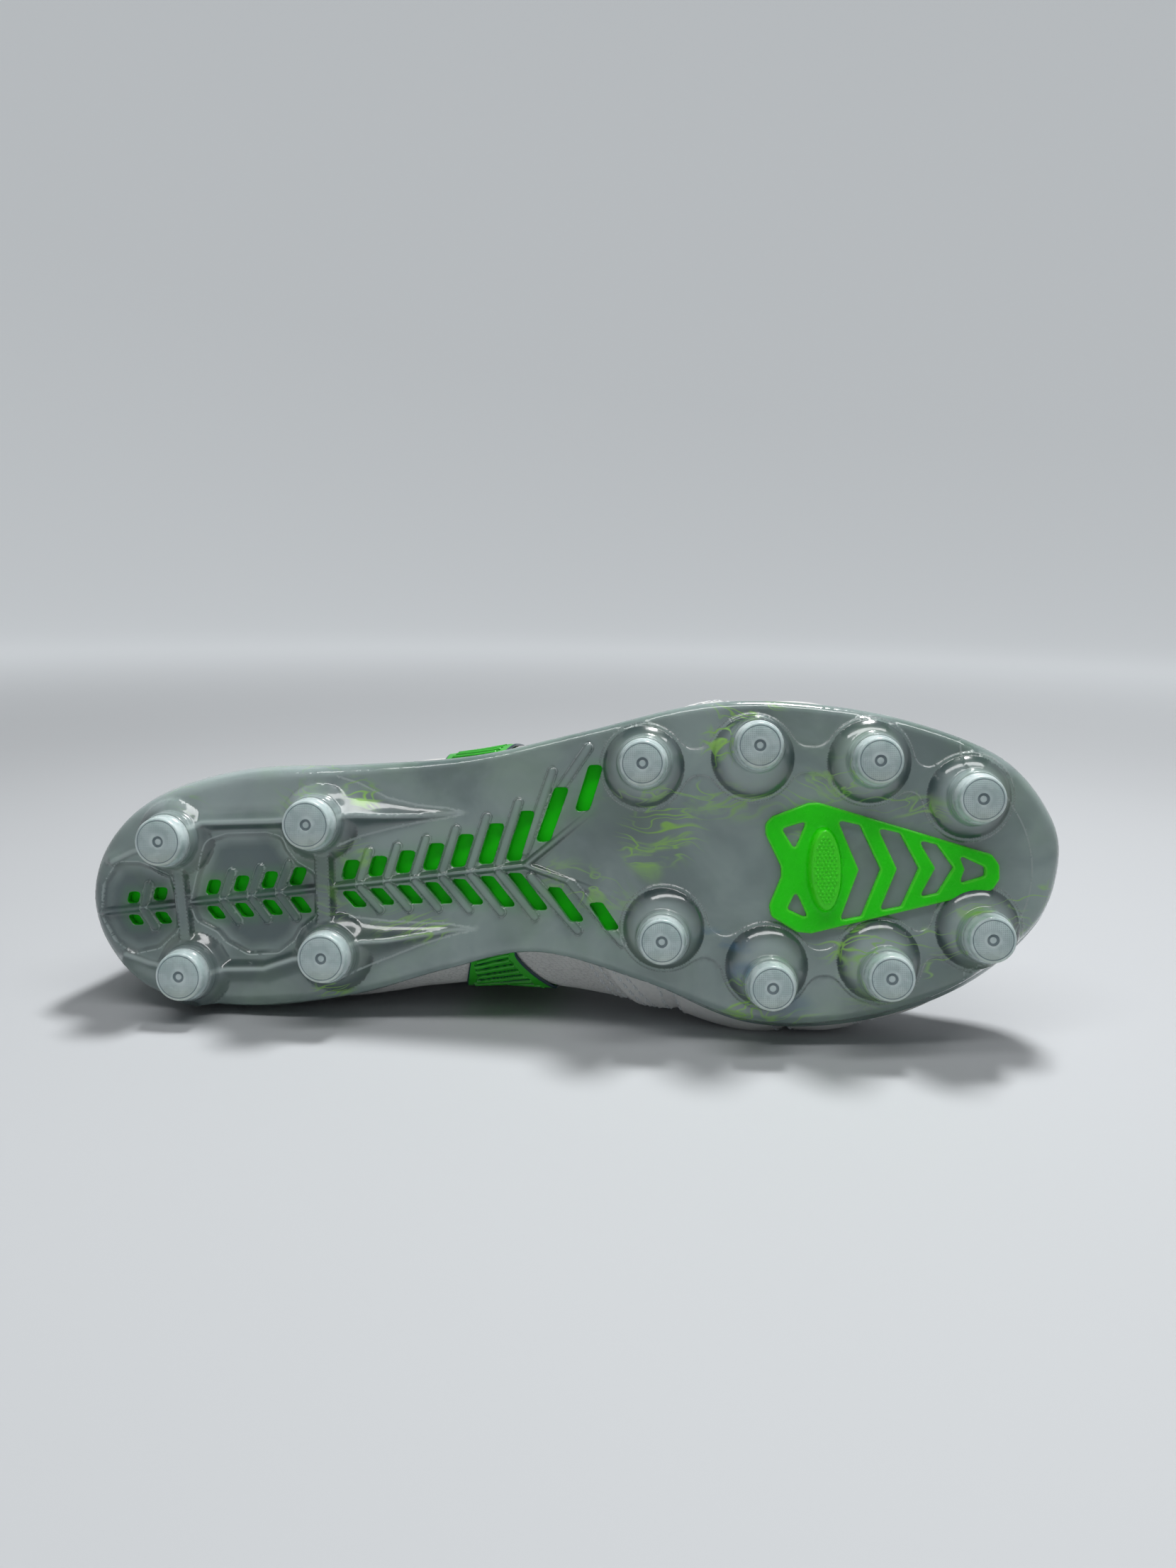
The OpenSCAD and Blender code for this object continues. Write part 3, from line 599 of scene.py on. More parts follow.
def plate_points(slots):
    """Points inside the underside: its details, and a grid that is dense where the relief bends."""
    step = .62
    gx, gy = np.meshgrid(np.arange(-1, 284, step), np.arange(-51, 43, step * .866))
    gx = gx + (np.arange(gx.shape[0]) % 2)[:, None] * step / 2
    h = relief(gx, gy)
    bend = np.zeros_like(h)
    bend[1:-1, 1:-1] = np.abs(4 * h[1:-1, 1:-1] - h[:-2, 1:-1] - h[2:, 1:-1] - h[1:-1, :-2] - h[1:-1, 2:])
    i, j = np.indices(gx.shape)
    keep = (bend > .012) | ((i % 4 == 0) & (j % 2 == 0)) | ((i % 4 == 2) & (j % 2 == 1))
    points = np.vstack(detail_points(slots) + [np.column_stack([gx[keep], gy[keep]])])
    points = points[inside(points, OUTLINE)]
    for loop in slots:
        mid, far = loop.mean(0), np.linalg.norm(loop - loop.mean(0), axis=1).max()
        close = np.linalg.norm(points - mid, axis=1) < far + .1
        bad = np.zeros(len(points), bool)
        bad[close] = inside(points[close], loop)
        points = points[~bad]
    for p, r in STUDS:
        points = points[np.linalg.norm(points - p, axis=1) > r + ROOT + .2]
    # thin out points closer than a third of a millimetre
    cell = np.round(points / .34).astype(int)
    _, first = np.unique(cell, axis=0, return_index=True)
    return points[np.sort(first)]


def wall_rows():
    """Rings from the outline up to the rim, over it and down inside, and the share of each on the way up."""
    high, rolled = along(RIM_T, ring_s)[:, 0], along(RIM_T, ring_s)[:, 1]
    ts = np.linspace(0, 1, 19)[1:]
    rows = []
    for t in ts:
        z = rolled + (high - rolled) * t
        q = skin(ring_side, ring_s, value_at(ring_s, z), -1.3 - .25 * math.sin(math.pi * t))
        base = np.column_stack([OUTLINE, z + spring(OUTLINE[:, 0])])
        rows.append(base + (q - base) * soft(t * 1.5))
    for depth, up in ((-1.15, .22), (-.85, .3), (-.55, .2)):
        rows.append(skin(ring_side, ring_s, value_at(ring_s, high + up), depth))
    for t in (1, .75, .5, .25):
        rows.append(skin(ring_side, ring_s, value_at(ring_s, SEAT + (high - SEAT) * t), -.4))
    foot = skin(ring_side, ring_s, np.full(N_RING, -1.), -.4)
    foot[:, 2] = PLATE + spring(foot[:, 0])
    return rows + [foot], ts


def top_points(slots, foot):
    """A coarse grid inside the top of the plate, clear of the slots and of its outline."""
    gx, gy = np.meshgrid(np.arange(4, 280, 6.), np.arange(-46, 40, 6.))
    points = np.column_stack([gx.ravel(), gy.ravel()])
    keep = inside(points, foot)
    for loop, gap in [(slot, 1.5) for slot in slots] + [(foot, 2)]:
        keep &= np.linalg.norm(points[:, None] - loop[None], axis=2).min(1) > gap
    for slot in slots:
        keep &= ~inside(points, slot)
    return points[keep]


def build_outsole(mat):
    """The plate in one mesh. Its relief attribute holds the height that its colour follows, as a painted
    highlight where it stands out.
    """
    feet = [np.array(p) + circle * (r + ROOT) for p, r in STUDS]
    slots = [resample(rounded(loop, 1.15), .6) for loop in SLOTS]
    points = plate_points(slots)
    xy, tris, loops = fill([OUTLINE] + slots + feet, points)
    verts, h = on_underside(xy)
    at_slot = np.concatenate(loops[1:1 + len(slots)])
    verts[at_slot, 2] += .22
    all_v, all_f, shades = [verts], [tris[:, ::-1]], [h]
    n = len(verts)

    def add(v, shade):
        """Take up points and return the number of the first one."""
        nonlocal n
        all_v.append(v)
        shades.append(np.broadcast_to(shade, len(v)))
        n += len(v)
        return n - len(v)

    # slot walls up to the top of the plate
    top_loops = []
    for slot, loop in zip(slots, loops[1:1 + len(slots)]):
        upper = add(np.column_stack([slot, PLATE + spring(slot[:, 0])]), .3) + np.arange(len(loop))
        all_f.append(np.column_stack([loop, np.roll(loop, -1), np.roll(upper, -1), upper]))
        top_loops.append(upper)
    # the wall
    rows, ts = wall_rows()
    shade = np.repeat(np.concatenate([-1 - ts, [-2] * (len(rows) - len(ts))]), N_RING)
    start = add(np.vstack(rows), shade)
    lowest = start + np.arange(N_RING)
    all_f.append(np.column_stack([loops[0], np.roll(loops[0], -1), np.roll(lowest, -1), lowest]))
    all_f.append(grid_faces(len(rows), N_RING, start, wrap_cols=True, flip=True))
    foot, foot_loop = rows[-1][:, :2], start + (len(rows) - 1) * N_RING + np.arange(N_RING)
    # top of the plate
    xy, tris, own_loops = fill([foot] + slots, top_points(slots, foot))
    ids = np.full(len(xy), -1)
    for own, known in zip(own_loops, [foot_loop] + top_loops):
        ids[own] = known
    new = np.where(ids < 0)[0]
    ids[new] = add(np.column_stack([xy[new], PLATE + spring(xy[new, 0])]), 0.) + np.arange(len(new))
    all_f.append(ids[tris])
    # stud roots
    for (p, r), loop in zip(STUDS, loops[1 + len(slots):]):
        low = h[loop]
        rings = [on_sole(p, np.column_stack([circle * (r + wider), low + (ROOT_TOP - low) * u]))
                 for u, wider in ROOT_RINGS]
        rings.append(on_sole(p, np.column_stack([circle * (r * .5), np.full(SIDES, ROOT_TOP)])))
        start = add(np.vstack(rings), np.repeat([3.5] * 2 + [5] * (len(rings) - 2), SIDES))
        first = start + np.arange(SIDES)
        last = first + (len(rings) - 1) * SIDES
        all_f.append(np.column_stack([np.roll(loop, -1), loop, first, np.roll(first, -1)]))
        all_f.append(grid_faces(len(rings), SIDES, start, wrap_cols=True))
        centre = add(on_sole(p, [[0, 0, ROOT_TOP]]), 5.)
        all_f.append(np.column_stack([last, np.full(SIDES, centre), np.roll(last, -1)]))
    faces = [tuple(f) for block in all_f for f in block]
    return piece("outsole", np.vstack(all_v), faces, mat, slot="outsole", stands_for=["outsole_plate"],
                 sharp=50, relief=np.concatenate(shades))


def lathe(place, profile):
    """A turned solid on the sole. profile: radius and height of each ring."""
    v = np.vstack([on_sole(place, np.column_stack([circle * r, np.full(SIDES, h)])) for r, h in profile])
    f = [tuple(q) for q in grid_faces(len(profile), SIDES, wrap_cols=True)]
    n = len(v)
    v = np.vstack([v, on_sole(place, [[0, 0, profile[0][1]], [0, 0, profile[-1][1]]])])
    last = (len(profile) - 1) * SIDES
    for k in range(SIDES):
        f.append((k, (k + 1) % SIDES, n))
        f.append((last + (k + 1) % SIDES, last + k, n + 1))
    return v, f


def stud_profile(r):
    """Radius and height of a tip's rings: collar, cone, flat rim, crosshatched face and centre mark."""
    return [(r * .6, 7.62), (r + .68, 7.62), (r + .7, 7.75), (r + .62, 8.5), (r + .45, 9.1), (r + .38, 9.15),
            (r + .2, 10.6), (r + .06, 11.5), (r - .02, 11.72), (r - .16, 11.9), (r - .36, 12.0),
            (r - .62, 12.02), (r - .72, 11.9), (r - .9, 11.9), (r - 1, 12.0), (r * .5, 12.0),
            (2.15, 12.0), (2.05, 12.06), (1.75, 12.06), (1.65, 12.0), (1.58, 11.6), (.95, 11.55),
            (.85, 11.68), (.6, 11.72), (.3, 11.72)]


# ---------------------------------------------------------------- materials
class Mat:
    """A node material with short ways to add nodes."""

    def __init__(self, name, **values):
        self.m = bpy.data.materials.new(name)
        self.m.use_nodes = True
        self.nt = self.m.node_tree
        self.b = self.nt.nodes["Principled BSDF"]
        self.set(**values)

    def set(self, **values):
        for key, value in values.items():
            self.put(self.b.inputs[key.replace("_", " ")], value)
        return self.m

    def put(self, socket, value):
        if isinstance(value, bpy.types.NodeSocket):
            self.nt.links.new(value, socket)
        elif isinstance(value, tuple) and len(value) == 3 and socket.type == "RGBA":
            socket.default_value = (*value, 1)
        else:
            socket.default_value = value

    def node(self, kind, inputs=(), out=0, **props):
        n = self.nt.nodes.new("ShaderNode" + kind)
        for key, value in props.items():
            setattr(n, key, value)
        for key, value in dict(inputs).items():
            self.put(n.inputs[key], value)
        return n.outputs[out]

    def attr(self, name, out="Fac"):
        return self.node("Attribute", out=out, attribute_name=name)

    def shoe(self, scale=1.0, rot=(0, 0, 0), shift=(0, 0, 0)):
        scale = (scale,) * 3 if isinstance(scale, (int, float)) else scale
        return self.node("Mapping", {"Vector": self.attr("shoe", "Vector"), "Scale": scale,
                                     "Rotation": rot, "Location": shift})

    def local(self, name, scale=(1, 1, 1), rot=0.0):
        return self.node("Mapping", {"Vector": self.attr(name, "Vector"), "Scale": scale,
                                     "Rotation": (0, 0, rot)})

    def calc(self, op, a, b=0.0, c=0.0, clamp=False):
        return self.node("Math", {0: a, 1: b, 2: c}, operation=op, use_clamp=clamp)

    def noise(self, vec, scale=1.0, detail=3.0, rough=.5, twist=0.0, out=0):
        return self.node("TexNoise", {"Vector": vec, "Scale": scale, "Detail": detail,
                                      "Roughness": rough, "Distortion": twist}, out=out)

    def cells(self, vec, scale=1.0, feature="F1", randomness=1.0, out="Distance"):
        return self.node("TexVoronoi", {"Vector": vec, "Scale": scale, "Randomness": randomness},
                         out=out, feature=feature)

    def wave(self, vec, scale=1.0, twist=0.0, detail=2.0, direction="X"):
        return self.node("TexWave", {"Vector": vec, "Scale": scale, "Distortion": twist, "Detail": detail},
                         bands_direction=direction)

    def span(self, value, low, high, to_low=0.0, to_high=1.0):
        return self.node("MapRange", {"Value": value, "From Min": low, "From Max": high,
                                      "To Min": to_low, "To Max": to_high}, clamp=True,
                         interpolation_type="SMOOTHSTEP")

    def mix(self, fac, a, b, blend="MIX"):
        n = self.nt.nodes.new("ShaderNodeMix")
        n.data_type, n.blend_type = "RGBA", blend
        self.put(n.inputs[0], fac)
        self.put(n.inputs[6], a)
        self.put(n.inputs[7], b)
        return n.outputs[2]

    def bump(self, height, distance, strength=1.0, normal=None):
        inputs = {"Height": height, "Distance": distance, "Strength": strength}
        if normal is not None:
            inputs["Normal"] = normal
        return self.node("Bump", inputs)


def sole_material():
    """Smoke-grey TPU under a clear coat, with lime streaks, painted shade on slopes, in the heel's pockets
    and at the heel's end, and painted highlights where it stands out, along step edges and crests and on the
    heel's upper side.
    """
    m = Mat("sole_smoky_tpu", Coat_Weight=.9, Coat_Roughness=.05, IOR=1.5)
    p = m.shoe(.01)
    warp = m.node("VectorMath", {0: m.noise(p, 2.2, 3, .5, out=1), 1: (.5, .5, .5)}, operation="SUBTRACT")
    warp = m.node("VectorMath", {0: warp, 3: .4}, operation="SCALE")
    q = m.node("VectorMath", {0: p, 1: warp}, operation="ADD")
    base = m.mix(m.span(m.noise(q, 3, 4), .3, .7), (.15, .21, .205), (.30, .385, .37))
    # Painted highlight: lighter where the relief stands out, on crests, domes and stud roots
    base = m.mix(m.span(m.attr("relief"), 2.2, 4.4, 0, .6), base, (.46, .56, .56))
    # Painted shade: darker on steep slopes, such as the domes' sides and the crests' flanks
    base = m.mix(m.span(m.attr("slope"), .15, 1.1, 0, .88), base, (.045, .07, .075))
    # Painted shade in the heel's sunk pockets and towards the heel's end
    base = m.mix(m.calc("MULTIPLY", m.attr("painted_shade"), .9), base, (.075, .12, .125))
    # Painted light on the heel's upper side, the lateral one as the shoe lies
    base = m.mix(m.calc("MULTIPLY", m.attr("painted_light_heel_top"), .5), base, (.50, .60, .60))
    # Painted highlight lines along the edges of the steps, ribs, pockets and fins, and along the crests
    base = m.mix(m.calc("MULTIPLY", m.attr("line"), .6), base, (.54, .63, .62))
    # lime streaks: thin iso-lines of stretched, warped noise
    lines = None
    for scale, stretch, width, seed in ((5, (.22, 1.3, 1), .014, 0), (7, (.25, 1.6, 1), .014, 5),
                                        (10, (.3, 1.3, 1), .02, 11)):
        v = m.node("Mapping", {"Vector": q, "Scale": stretch, "Location": (seed, seed, 0),
                               "Rotation": (0, 0, -.35 + .06 * seed)})
        n = m.calc("ABSOLUTE", m.calc("SUBTRACT", m.noise(v, scale, 2, .5, .2), .5))
        line = m.span(n, 0, width, 1, 0)
        lines = line if lines is None else m.calc("MAXIMUM", lines, line)
    wide_ = m.node("Mapping", {"Vector": q, "Scale": (.45, 1.3, 1)})
    patch = m.span(m.noise(wide_, 11, 4, .6, .6), .54, .7)
    streaks = m.calc("MAXIMUM", m.calc("MULTIPLY", lines, 1.0), m.calc("MULTIPLY", patch, .95))
    green = m.calc("MULTIPLY", streaks, m.attr("tint"), clamp=True)
    faint = m.calc("MULTIPLY", m.span(m.noise(q, 4, 3), .45, .75), .18)
    base = m.mix(faint, base, (.26, .46, .20))
    base = m.mix(green, base, (.30, .62, .10))
    blue = m.calc("MULTIPLY", m.attr("blue"), m.span(m.noise(q, 10, 3), .35, .6))
    base = m.mix(blue, base, (.06, .16, .30))
    base = m.mix(m.attr("glow"), base, (.015, .40, .006))
    rough = m.span(m.noise(m.shoe(.05), 6, 4), .3, .7, .16, .27)
    height = m.noise(m.shoe(1.0), .35, 3)
    m.set(Base_Color=base, Roughness=rough, Normal=m.bump(height, .0002, .12))
    m.set(Subsurface_Weight=.12, Subsurface_Radius=(.6, 1.0, .8), Subsurface_Scale=.004)
    return m.m


def tip_material():
    """Clear tips: cloudy, with a crosshatched face and a dark ring in it."""
    m = Mat("stud_tip_clear", IOR=1.5, Coat_Weight=.3, Coat_Roughness=.1)
    face = m.attr("face")
    v = m.attr("local", "Vector")
    a = m.wave(v, .6, 0, direction="X")
    b = m.wave(v, .6, 0, direction="Y")
    grid = m.calc("MULTIPLY", m.calc("MAXIMUM", a, b), face)
    cloud = m.noise(m.shoe(.25), 1.0, 4)
    col = m.mix(m.span(cloud, .3, .7), (.50, .62, .62), (.64, .75, .75))
    gaps = m.calc("MULTIPLY", m.calc("SUBTRACT", 1.0, grid), m.calc("MULTIPLY", face, .7))
    col = m.mix(gaps, col, (.30, .40, .42))
    # A yellowish tint towards the medial side of the tip's face
    col = m.mix(m.attr("warm"), col, (.58, .63, .52))
    col = m.mix(m.attr("groove"), col, (.14, .20, .23))
    m.set(Base_Color=col, Roughness=m.span(cloud, .3, .7, .22, .34), Normal=m.bump(grid, .00012, .5))
    m.set(Subsurface_Weight=.35, Subsurface_Radius=(1, 1.2, 1.1), Subsurface_Scale=.004)
    return m.m


def green_plastic(name, colour, dark):
    """The insert's bright plastic, with a painted highlight along its rims and on its nub."""
    m = Mat(name, Specular_IOR_Level=.25, Coat_Weight=.05, Coat_Roughness=.08)
    n = m.noise(m.shoe(.04), 1.5, 4)
    col = m.mix(m.span(n, .3, .7), dark, colour)
    # Painted highlight: paler green where the rim attribute marks the insert's edges and nub
    col = m.mix(m.calc("MULTIPLY", m.attr("rim"), .6), col, (.14, .93, .05))
    m.set(Base_Color=col, Roughness=m.span(m.noise(m.shoe(.4), 1, 3), .3, .7, .2, .34),
          Normal=m.bump(m.noise(m.shoe(1.0), 1.6, 3), .0001, .06))
    return m.m


def cad_material(name, colour, dark, scale, rough=.6, depth=.0003, **values):
    """For a CAD node that is carried over: its coordinates are the row's own, in metres."""
    m = Mat(name, Roughness=rough, **values)
    p = m.node("TexCoord", out=3)
    n = m.noise(p, scale, 4, .6)
    m.set(Base_Color=m.mix(m.span(n, .3, .7), dark, colour),
          Normal=m.bump(m.noise(p, scale * 4, 3), depth, .4))
    return m.m


def leather(name, light, dark):
    """Soft grained leather: pebbles about a millimetre across and shallow creases."""
    m = Mat(name, Specular_IOR_Level=.35, Sheen_Weight=.06)
    grain = m.cells(m.shoe(1.0), 1 / 1.1, "SMOOTH_F1")
    fine = m.noise(m.shoe(1.0), 3.2, 3, .6)
    crease = m.noise(m.shoe((.9, .25, .25)), .5, 4, .6, .6)
    tone = m.noise(m.shoe(.05), 1.0, 4)
    col = m.mix(m.span(tone, .3, .7), dark, light)
    col = m.mix(m.span(grain, .25, .75, 0, .22), col, tuple(.8 * c for c in dark))
    height = m.calc("ADD", m.calc("MULTIPLY", grain, -.7), m.calc("MULTIPLY", fine, .35))
    first = m.bump(height, .00009, .55)
    m.set(Base_Color=col, Roughness=m.span(fine, .3, .7, .42, .58), Normal=m.bump(crease, .0005, .22, first))
    m.set(Subsurface_Weight=.06, Subsurface_Radius=(1, .9, .8), Subsurface_Scale=.002)
    return m.m


def scaled_fabric(name, light, dark):
    """The side's coated fabric: long slanted scales, about 2.6 by 1.1 mm."""
    m = Mat(name, Specular_IOR_Level=.3)
    v = m.local("cloth", (.55, 1.25, 1), .42)
    scales = m.cells(v, 1.0, "SMOOTH_F1", .55)
    border = m.cells(v, 1.0, "DISTANCE_TO_EDGE", .55)
    fine = m.noise(m.shoe(1.0), 4.5, 3, .6)
    tone = m.noise(m.shoe(.06), 1.0, 4)
    col = m.mix(m.span(tone, .3, .7), dark, light)
    col = m.mix(m.span(border, 0, .12, .5, 0), col, tuple(.62 * c for c in dark))
    height = m.calc("ADD", m.calc("MULTIPLY", m.span(border, 0, .22), .8), m.calc("MULTIPLY", fine, .2))
    m.set(Base_Color=col, Roughness=m.span(scales, .1, .8, .4, .6), Normal=m.bump(height, .00022, .75))
    return m.m


def textile(name, light, dark, pitch=.8, depth=.00016):
    """A plain weave: two crossing sets of yarns, pitch millimetres apart, with loose fibres."""
    m = Mat(name, Sheen_Weight=.25, Sheen_Roughness=.5, Specular_IOR_Level=.2)
    v = m.local("cloth")
    warp_ = m.wave(v, .314 / pitch, .5, 1, "X")
    weft = m.wave(v, .314 / pitch, .5, 1, "Y")
    fibre = m.noise(m.shoe(1.0), 5, 3, .7)
    tone = m.noise(m.shoe(.08), 1.0, 4)
    weave = m.calc("MULTIPLY", warp_, weft)
    col = m.mix(m.span(tone, .3, .7), dark, light)
    col = m.mix(m.span(weave, 0, .5, .45, 0), col, tuple(.55 * c for c in dark))
    col = m.mix(m.calc("MULTIPLY", fibre, .2), col, tuple(min(1, 1.25 * c) for c in light))
    height = m.calc("ADD", weave, m.calc("MULTIPLY", fibre, .4))
    m.set(Base_Color=col, Roughness=.85, Normal=m.bump(height, depth, .7))
    return m.m


def knit(name, light, dark):
    """A padded knit of small round holes in staggered rows, 1.5 mm apart."""
    m = Mat(name, Sheen_Weight=.2, Sheen_Roughness=.5, Specular_IOR_Level=.25)
    v = m.local("cloth", (1 / 1.5, 1 / 1.5, 1), .785)
    holes = m.cells(v, 1.0, "F1", 0.0)
    fibre = m.noise(m.shoe(1.0), 4, 3, .7)
    tone = m.noise(m.shoe(.07), 1.0, 4)
    hole = m.span(holes, .16, .34, 1, 0)
    col = m.mix(m.span(tone, .3, .7), dark, light)
    col = m.mix(m.calc("MULTIPLY", hole, .75), col, tuple(.3 * c for c in dark))
    col = m.mix(m.calc("MULTIPLY", m.attr("edge_"), .8), col, (.30, .34, .35))
    height = m.calc("SUBTRACT", m.calc("MULTIPLY", fibre, .35), hole)
    m.set(Base_Color=col, Roughness=.8, Normal=m.bump(height, .0003, .6))
    return m.m


def band_material():
    """The side bands' moulded green, dark in its grooves."""
    m = Mat("side_band_green", Coat_Weight=.2, Coat_Roughness=.2)
    n = m.noise(m.shoe(.05), 1.5, 4)
    fine = m.noise(m.shoe(1.0), 2.2, 4, .6)
    col = m.mix(m.span(n, .3, .7), (.012, .34, .006), (.025, .48, .012))
    col = m.mix(m.span(fine, .55, .8, 0, .25), col, (.07, .62, .05))
    groove = m.span(m.attr("groove"), .25, .8)
    col = m.mix(groove, col, (.006, .035, .05))
    m.set(Base_Color=col, Roughness=m.span(fine, .3, .7, .3, .46), Normal=m.bump(fine, .00012, .4))
    return m.m


def cord_material(name, light, dark):
    """A braid: two sets of slanted plaits along the cord."""
    m = Mat(name, Sheen_Weight=.2, Specular_IOR_Level=.25)
    a = m.wave(m.local("cloth", (1, 1, 1), .785), .314 / .95, .2, 1, "X")
    b = m.wave(m.local("cloth", (1, 1, 1), -.785), .314 / .95, .2, 1, "X")
    fibre = m.noise(m.shoe(1.0), 6, 3, .7)
    plait = m.calc("MAXIMUM", a, b)
    col = m.mix(m.span(plait, .3, .9), dark, light)
    m.set(Base_Color=col, Roughness=m.span(fibre, .3, .7, .6, .85),
          Normal=m.bump(m.calc("ADD", plait, m.calc("MULTIPLY", fibre, .3)), .0002, .8))
    return m.m


def thread_material():
    """Twisted sewing thread."""
    m = Mat("sewing_thread", Specular_IOR_Level=.4)
    twist = m.wave(m.shoe(1.0, (.6, .5, .8)), .314 / .45, .4)
    col = m.mix(twist, (.56, .59, .60), (.80, .82, .82))
    m.set(Base_Color=col, Roughness=m.span(twist, 0, 1, .42, .6), Normal=m.bump(twist, .00006, .6))
    return m.m


def metal_material():
    """The eyelets: painted metal with fine turning marks and lighter worn patches."""
    m = Mat("eyelet_painted_metal", Metallic=.85)
    p = m.node("TexCoord", out=3)
    marks = m.noise(p, 900, 3, .7)
    worn = m.noise(p, 160, 4, .6)
    col = m.mix(m.span(worn, .52, .66), (.42, .45, .46), (.70, .72, .72))
    m.set(Base_Color=col, Roughness=m.span(marks, .3, .7, .24, .42), Normal=m.bump(marks, .00004, .4))
    return m.m


SOLE = sole_material()
TIP = tip_material()
GREEN = green_plastic("insert_green_tpu", (.022, .86, .002), (.018, .80, .0015))
SHANK = cad_material("shank_green_plastic", (.010, .86, .001), (.008, .70, .001), 60, .5, .0001,
                     Specular_IOR_Level=.15)
WHITE = leather("white_leather", (.76, .76, .74), (.70, .705, .69))
GRAIN = scaled_fabric("white_scaled_fabric", (.72, .72, .70), (.66, .665, .65))
BAND = band_material()
FABRIC = knit("tongue_knit", (.60, .61, .60), (.50, .51, .50))
LINING = textile("lining_weave", (.34, .36, .37), (.26, .28, .29), .9)
BINDING = textile("binding_tape", (.46, .48, .49), (.36, .38, .39), .7)
SOCK = textile("sockliner_top_cloth", (.09, .11, .13), (.06, .075, .09), 1.1, .0002)
LACE = cord_material("lace_braid", (.68, .69, .68), (.42, .44, .45))
THREAD = thread_material()
CARRIED = dict(
    toe_puff=cad_material("toe_puff_board", (.50, .47, .40), (.40, .37, .31), 260, .8, .0002),
    heel_counter=cad_material("heel_counter_plastic", (.42, .42, .39), (.34, .34, .32), 320, .55, .0002),
    lasting_board=cad_material("lasting_board_fibre", (.50, .44, .34), (.36, .31, .24), 420, .85, .0003),
    medial_eyelets=metal_material(), lateral_eyelets=metal_material(), shank_plate=SHANK)
for node, mat in CARRIED.items():
    carried = frame["nodes"][node].data.materials
    carried.clear()
    carried.append(mat)


# ---------------------------------------------------------------- the sole
def blobs(x, y, spots):
    """How far points lie in soft ovals, given by centre, half sizes, turn and strength."""
    out = np.zeros(len(x))
    for cx, cy, rx, ry, angle, k in spots:
        c, s = math.cos(math.radians(angle)), math.sin(math.radians(angle))
        u, w = (x - cx) * c + (y - cy) * s, -(x - cx) * s + (y - cy) * c
        out = np.maximum(out, k * soft(1.35 - np.sqrt((u / rx) ** 2 + (w / ry) ** 2)))
    return out


# Where the plate has lime streaks, and where it is bluish
TINT = [(189, -38, 5, 7, 0, 1), (174, -14, 10, 9, 40, 1), (166, -8, 9, 5, 60, .9), (196, -20, 16, 4, 0, .6),
        (150, 2, 14, 6, 20, .6), (180, -24, 22, 3, 0, .7), (218, -25, 14, 6, -20, .7),
        (213, -17, 8, 10, 0, .5), (240, -19, 14, 4, 10, .6), (194, 36, 6, 10, 10, 1), (200, 40, 16, 4, 0, .6),
        (224, 19, 10, 6, 0, .9), (243, 18, 14, 3, 0, .7), (262, 10, 12, 3, 0, .9), (250, 27, 6, 5, 0, .8),
        (262, 20, 14, 3, -20, .8), (272, 8, 8, 5, -30, .7), (86, -26, 6, 4, 30, .9), (84, -8, 6, 4, 0, .7),
        (105, 14, 6, 4, 0, .8), (75, 31, 6, 3, 0, .8), (75, -36, 16, 3, 0, .6), (196, -47, 10, 3, 0, .9),
        (76, 5, 5, 9, 0, .3), (98, 12, 10, 5, 0, .5), (68, -25, 8, 6, 0, .35), (30, -28, 12, 4, 40, .3),
        (230, 30, 10, 8, 0, .35)]
BLUE = [(188, 17, 9, 2.4, 15, .9), (195, 26, 5, 3, 0, .6), (206, 36, 8, 4, 0, .4), (225, -14, 8, 3, 0, .2)]


def slot_glow(p):
    """How much of the green behind the plate shows through at each point."""
    out = np.zeros(len(p))
    for loop in SLOTS:
        mid = loop.mean(0)
        near = np.where(np.linalg.norm(p[:, :2] - mid, axis=1) < 14)[0]
        d = np.min([seg(p[near, 0], p[near, 1], a, b)[0] for a, b in zip(loop, np.roll(loop, -1, 0))], 0)
        level = p[near, 2] - spring(p[near, 0])
        g = np.where((level > .15) & (level < 3) & (d < .8), 1.0, .16 * soft(1 - d / 3.5))
        out[near] = np.maximum(out[near], g)
    return out


def paint_outsole(outsole):
    """Give the plate the attributes that its colour follows, painted shade and painted highlights among them.
    """
    mesh = outsole.data
    rest = np.zeros(len(mesh.vertices) * 3, np.float32)
    mesh.attributes["shoe"].data.foreach_get("vector", rest)
    rest = rest.reshape(-1, 3)
    x, y = rest[:, 0], rest[:, 1]
    thin = np.min([np.abs(f) for f in line_fields(x, y)], 0)
    on_face = rest[:, 2] - spring(x) < .8
    ridge = np.min([seg(x, y, a[:2], b[:2])[0] for line in [c[0] for c in CRESTS] + FINS
                    for a, b in zip(line[:-1], line[1:])], 0)
    gx = (relief(x + .2, y) - relief(x - .2, y)) / .4
    gy = (relief(x, y + .2) - relief(x, y - .2)) / .4
    layers = dict(
        # slope: how steep the relief is, which the colour follows as painted shade
        slope=np.hypot(gx, gy), tint=blobs(x, y, TINT), blue=blobs(x, y, BLUE),
        # line: painted highlight along those edges and, weaker, along the crests, on the underside only
        line=np.maximum(soft(1 - thin / .22), .85 * soft(1.2 - ridge / .9)) * on_face,
        # painted shade in the sunk pockets and over the last 15 mm of the heel
        painted_shade=np.maximum(soft(-pocket(x, y) / 3.5), .75 * soft((15 - x) / 14) * on_face),
        # painted light on the heel's upper side, at its lateral edge
        painted_light_heel_top=soft((86 - x) / 20) * soft((-19 - y) / 6),
        glow=slot_glow(rest))
    for key, values in layers.items():
        layer = mesh.attributes.new(key, "FLOAT", "POINT")
        layer.data.foreach_set("value", values.astype(np.float32))


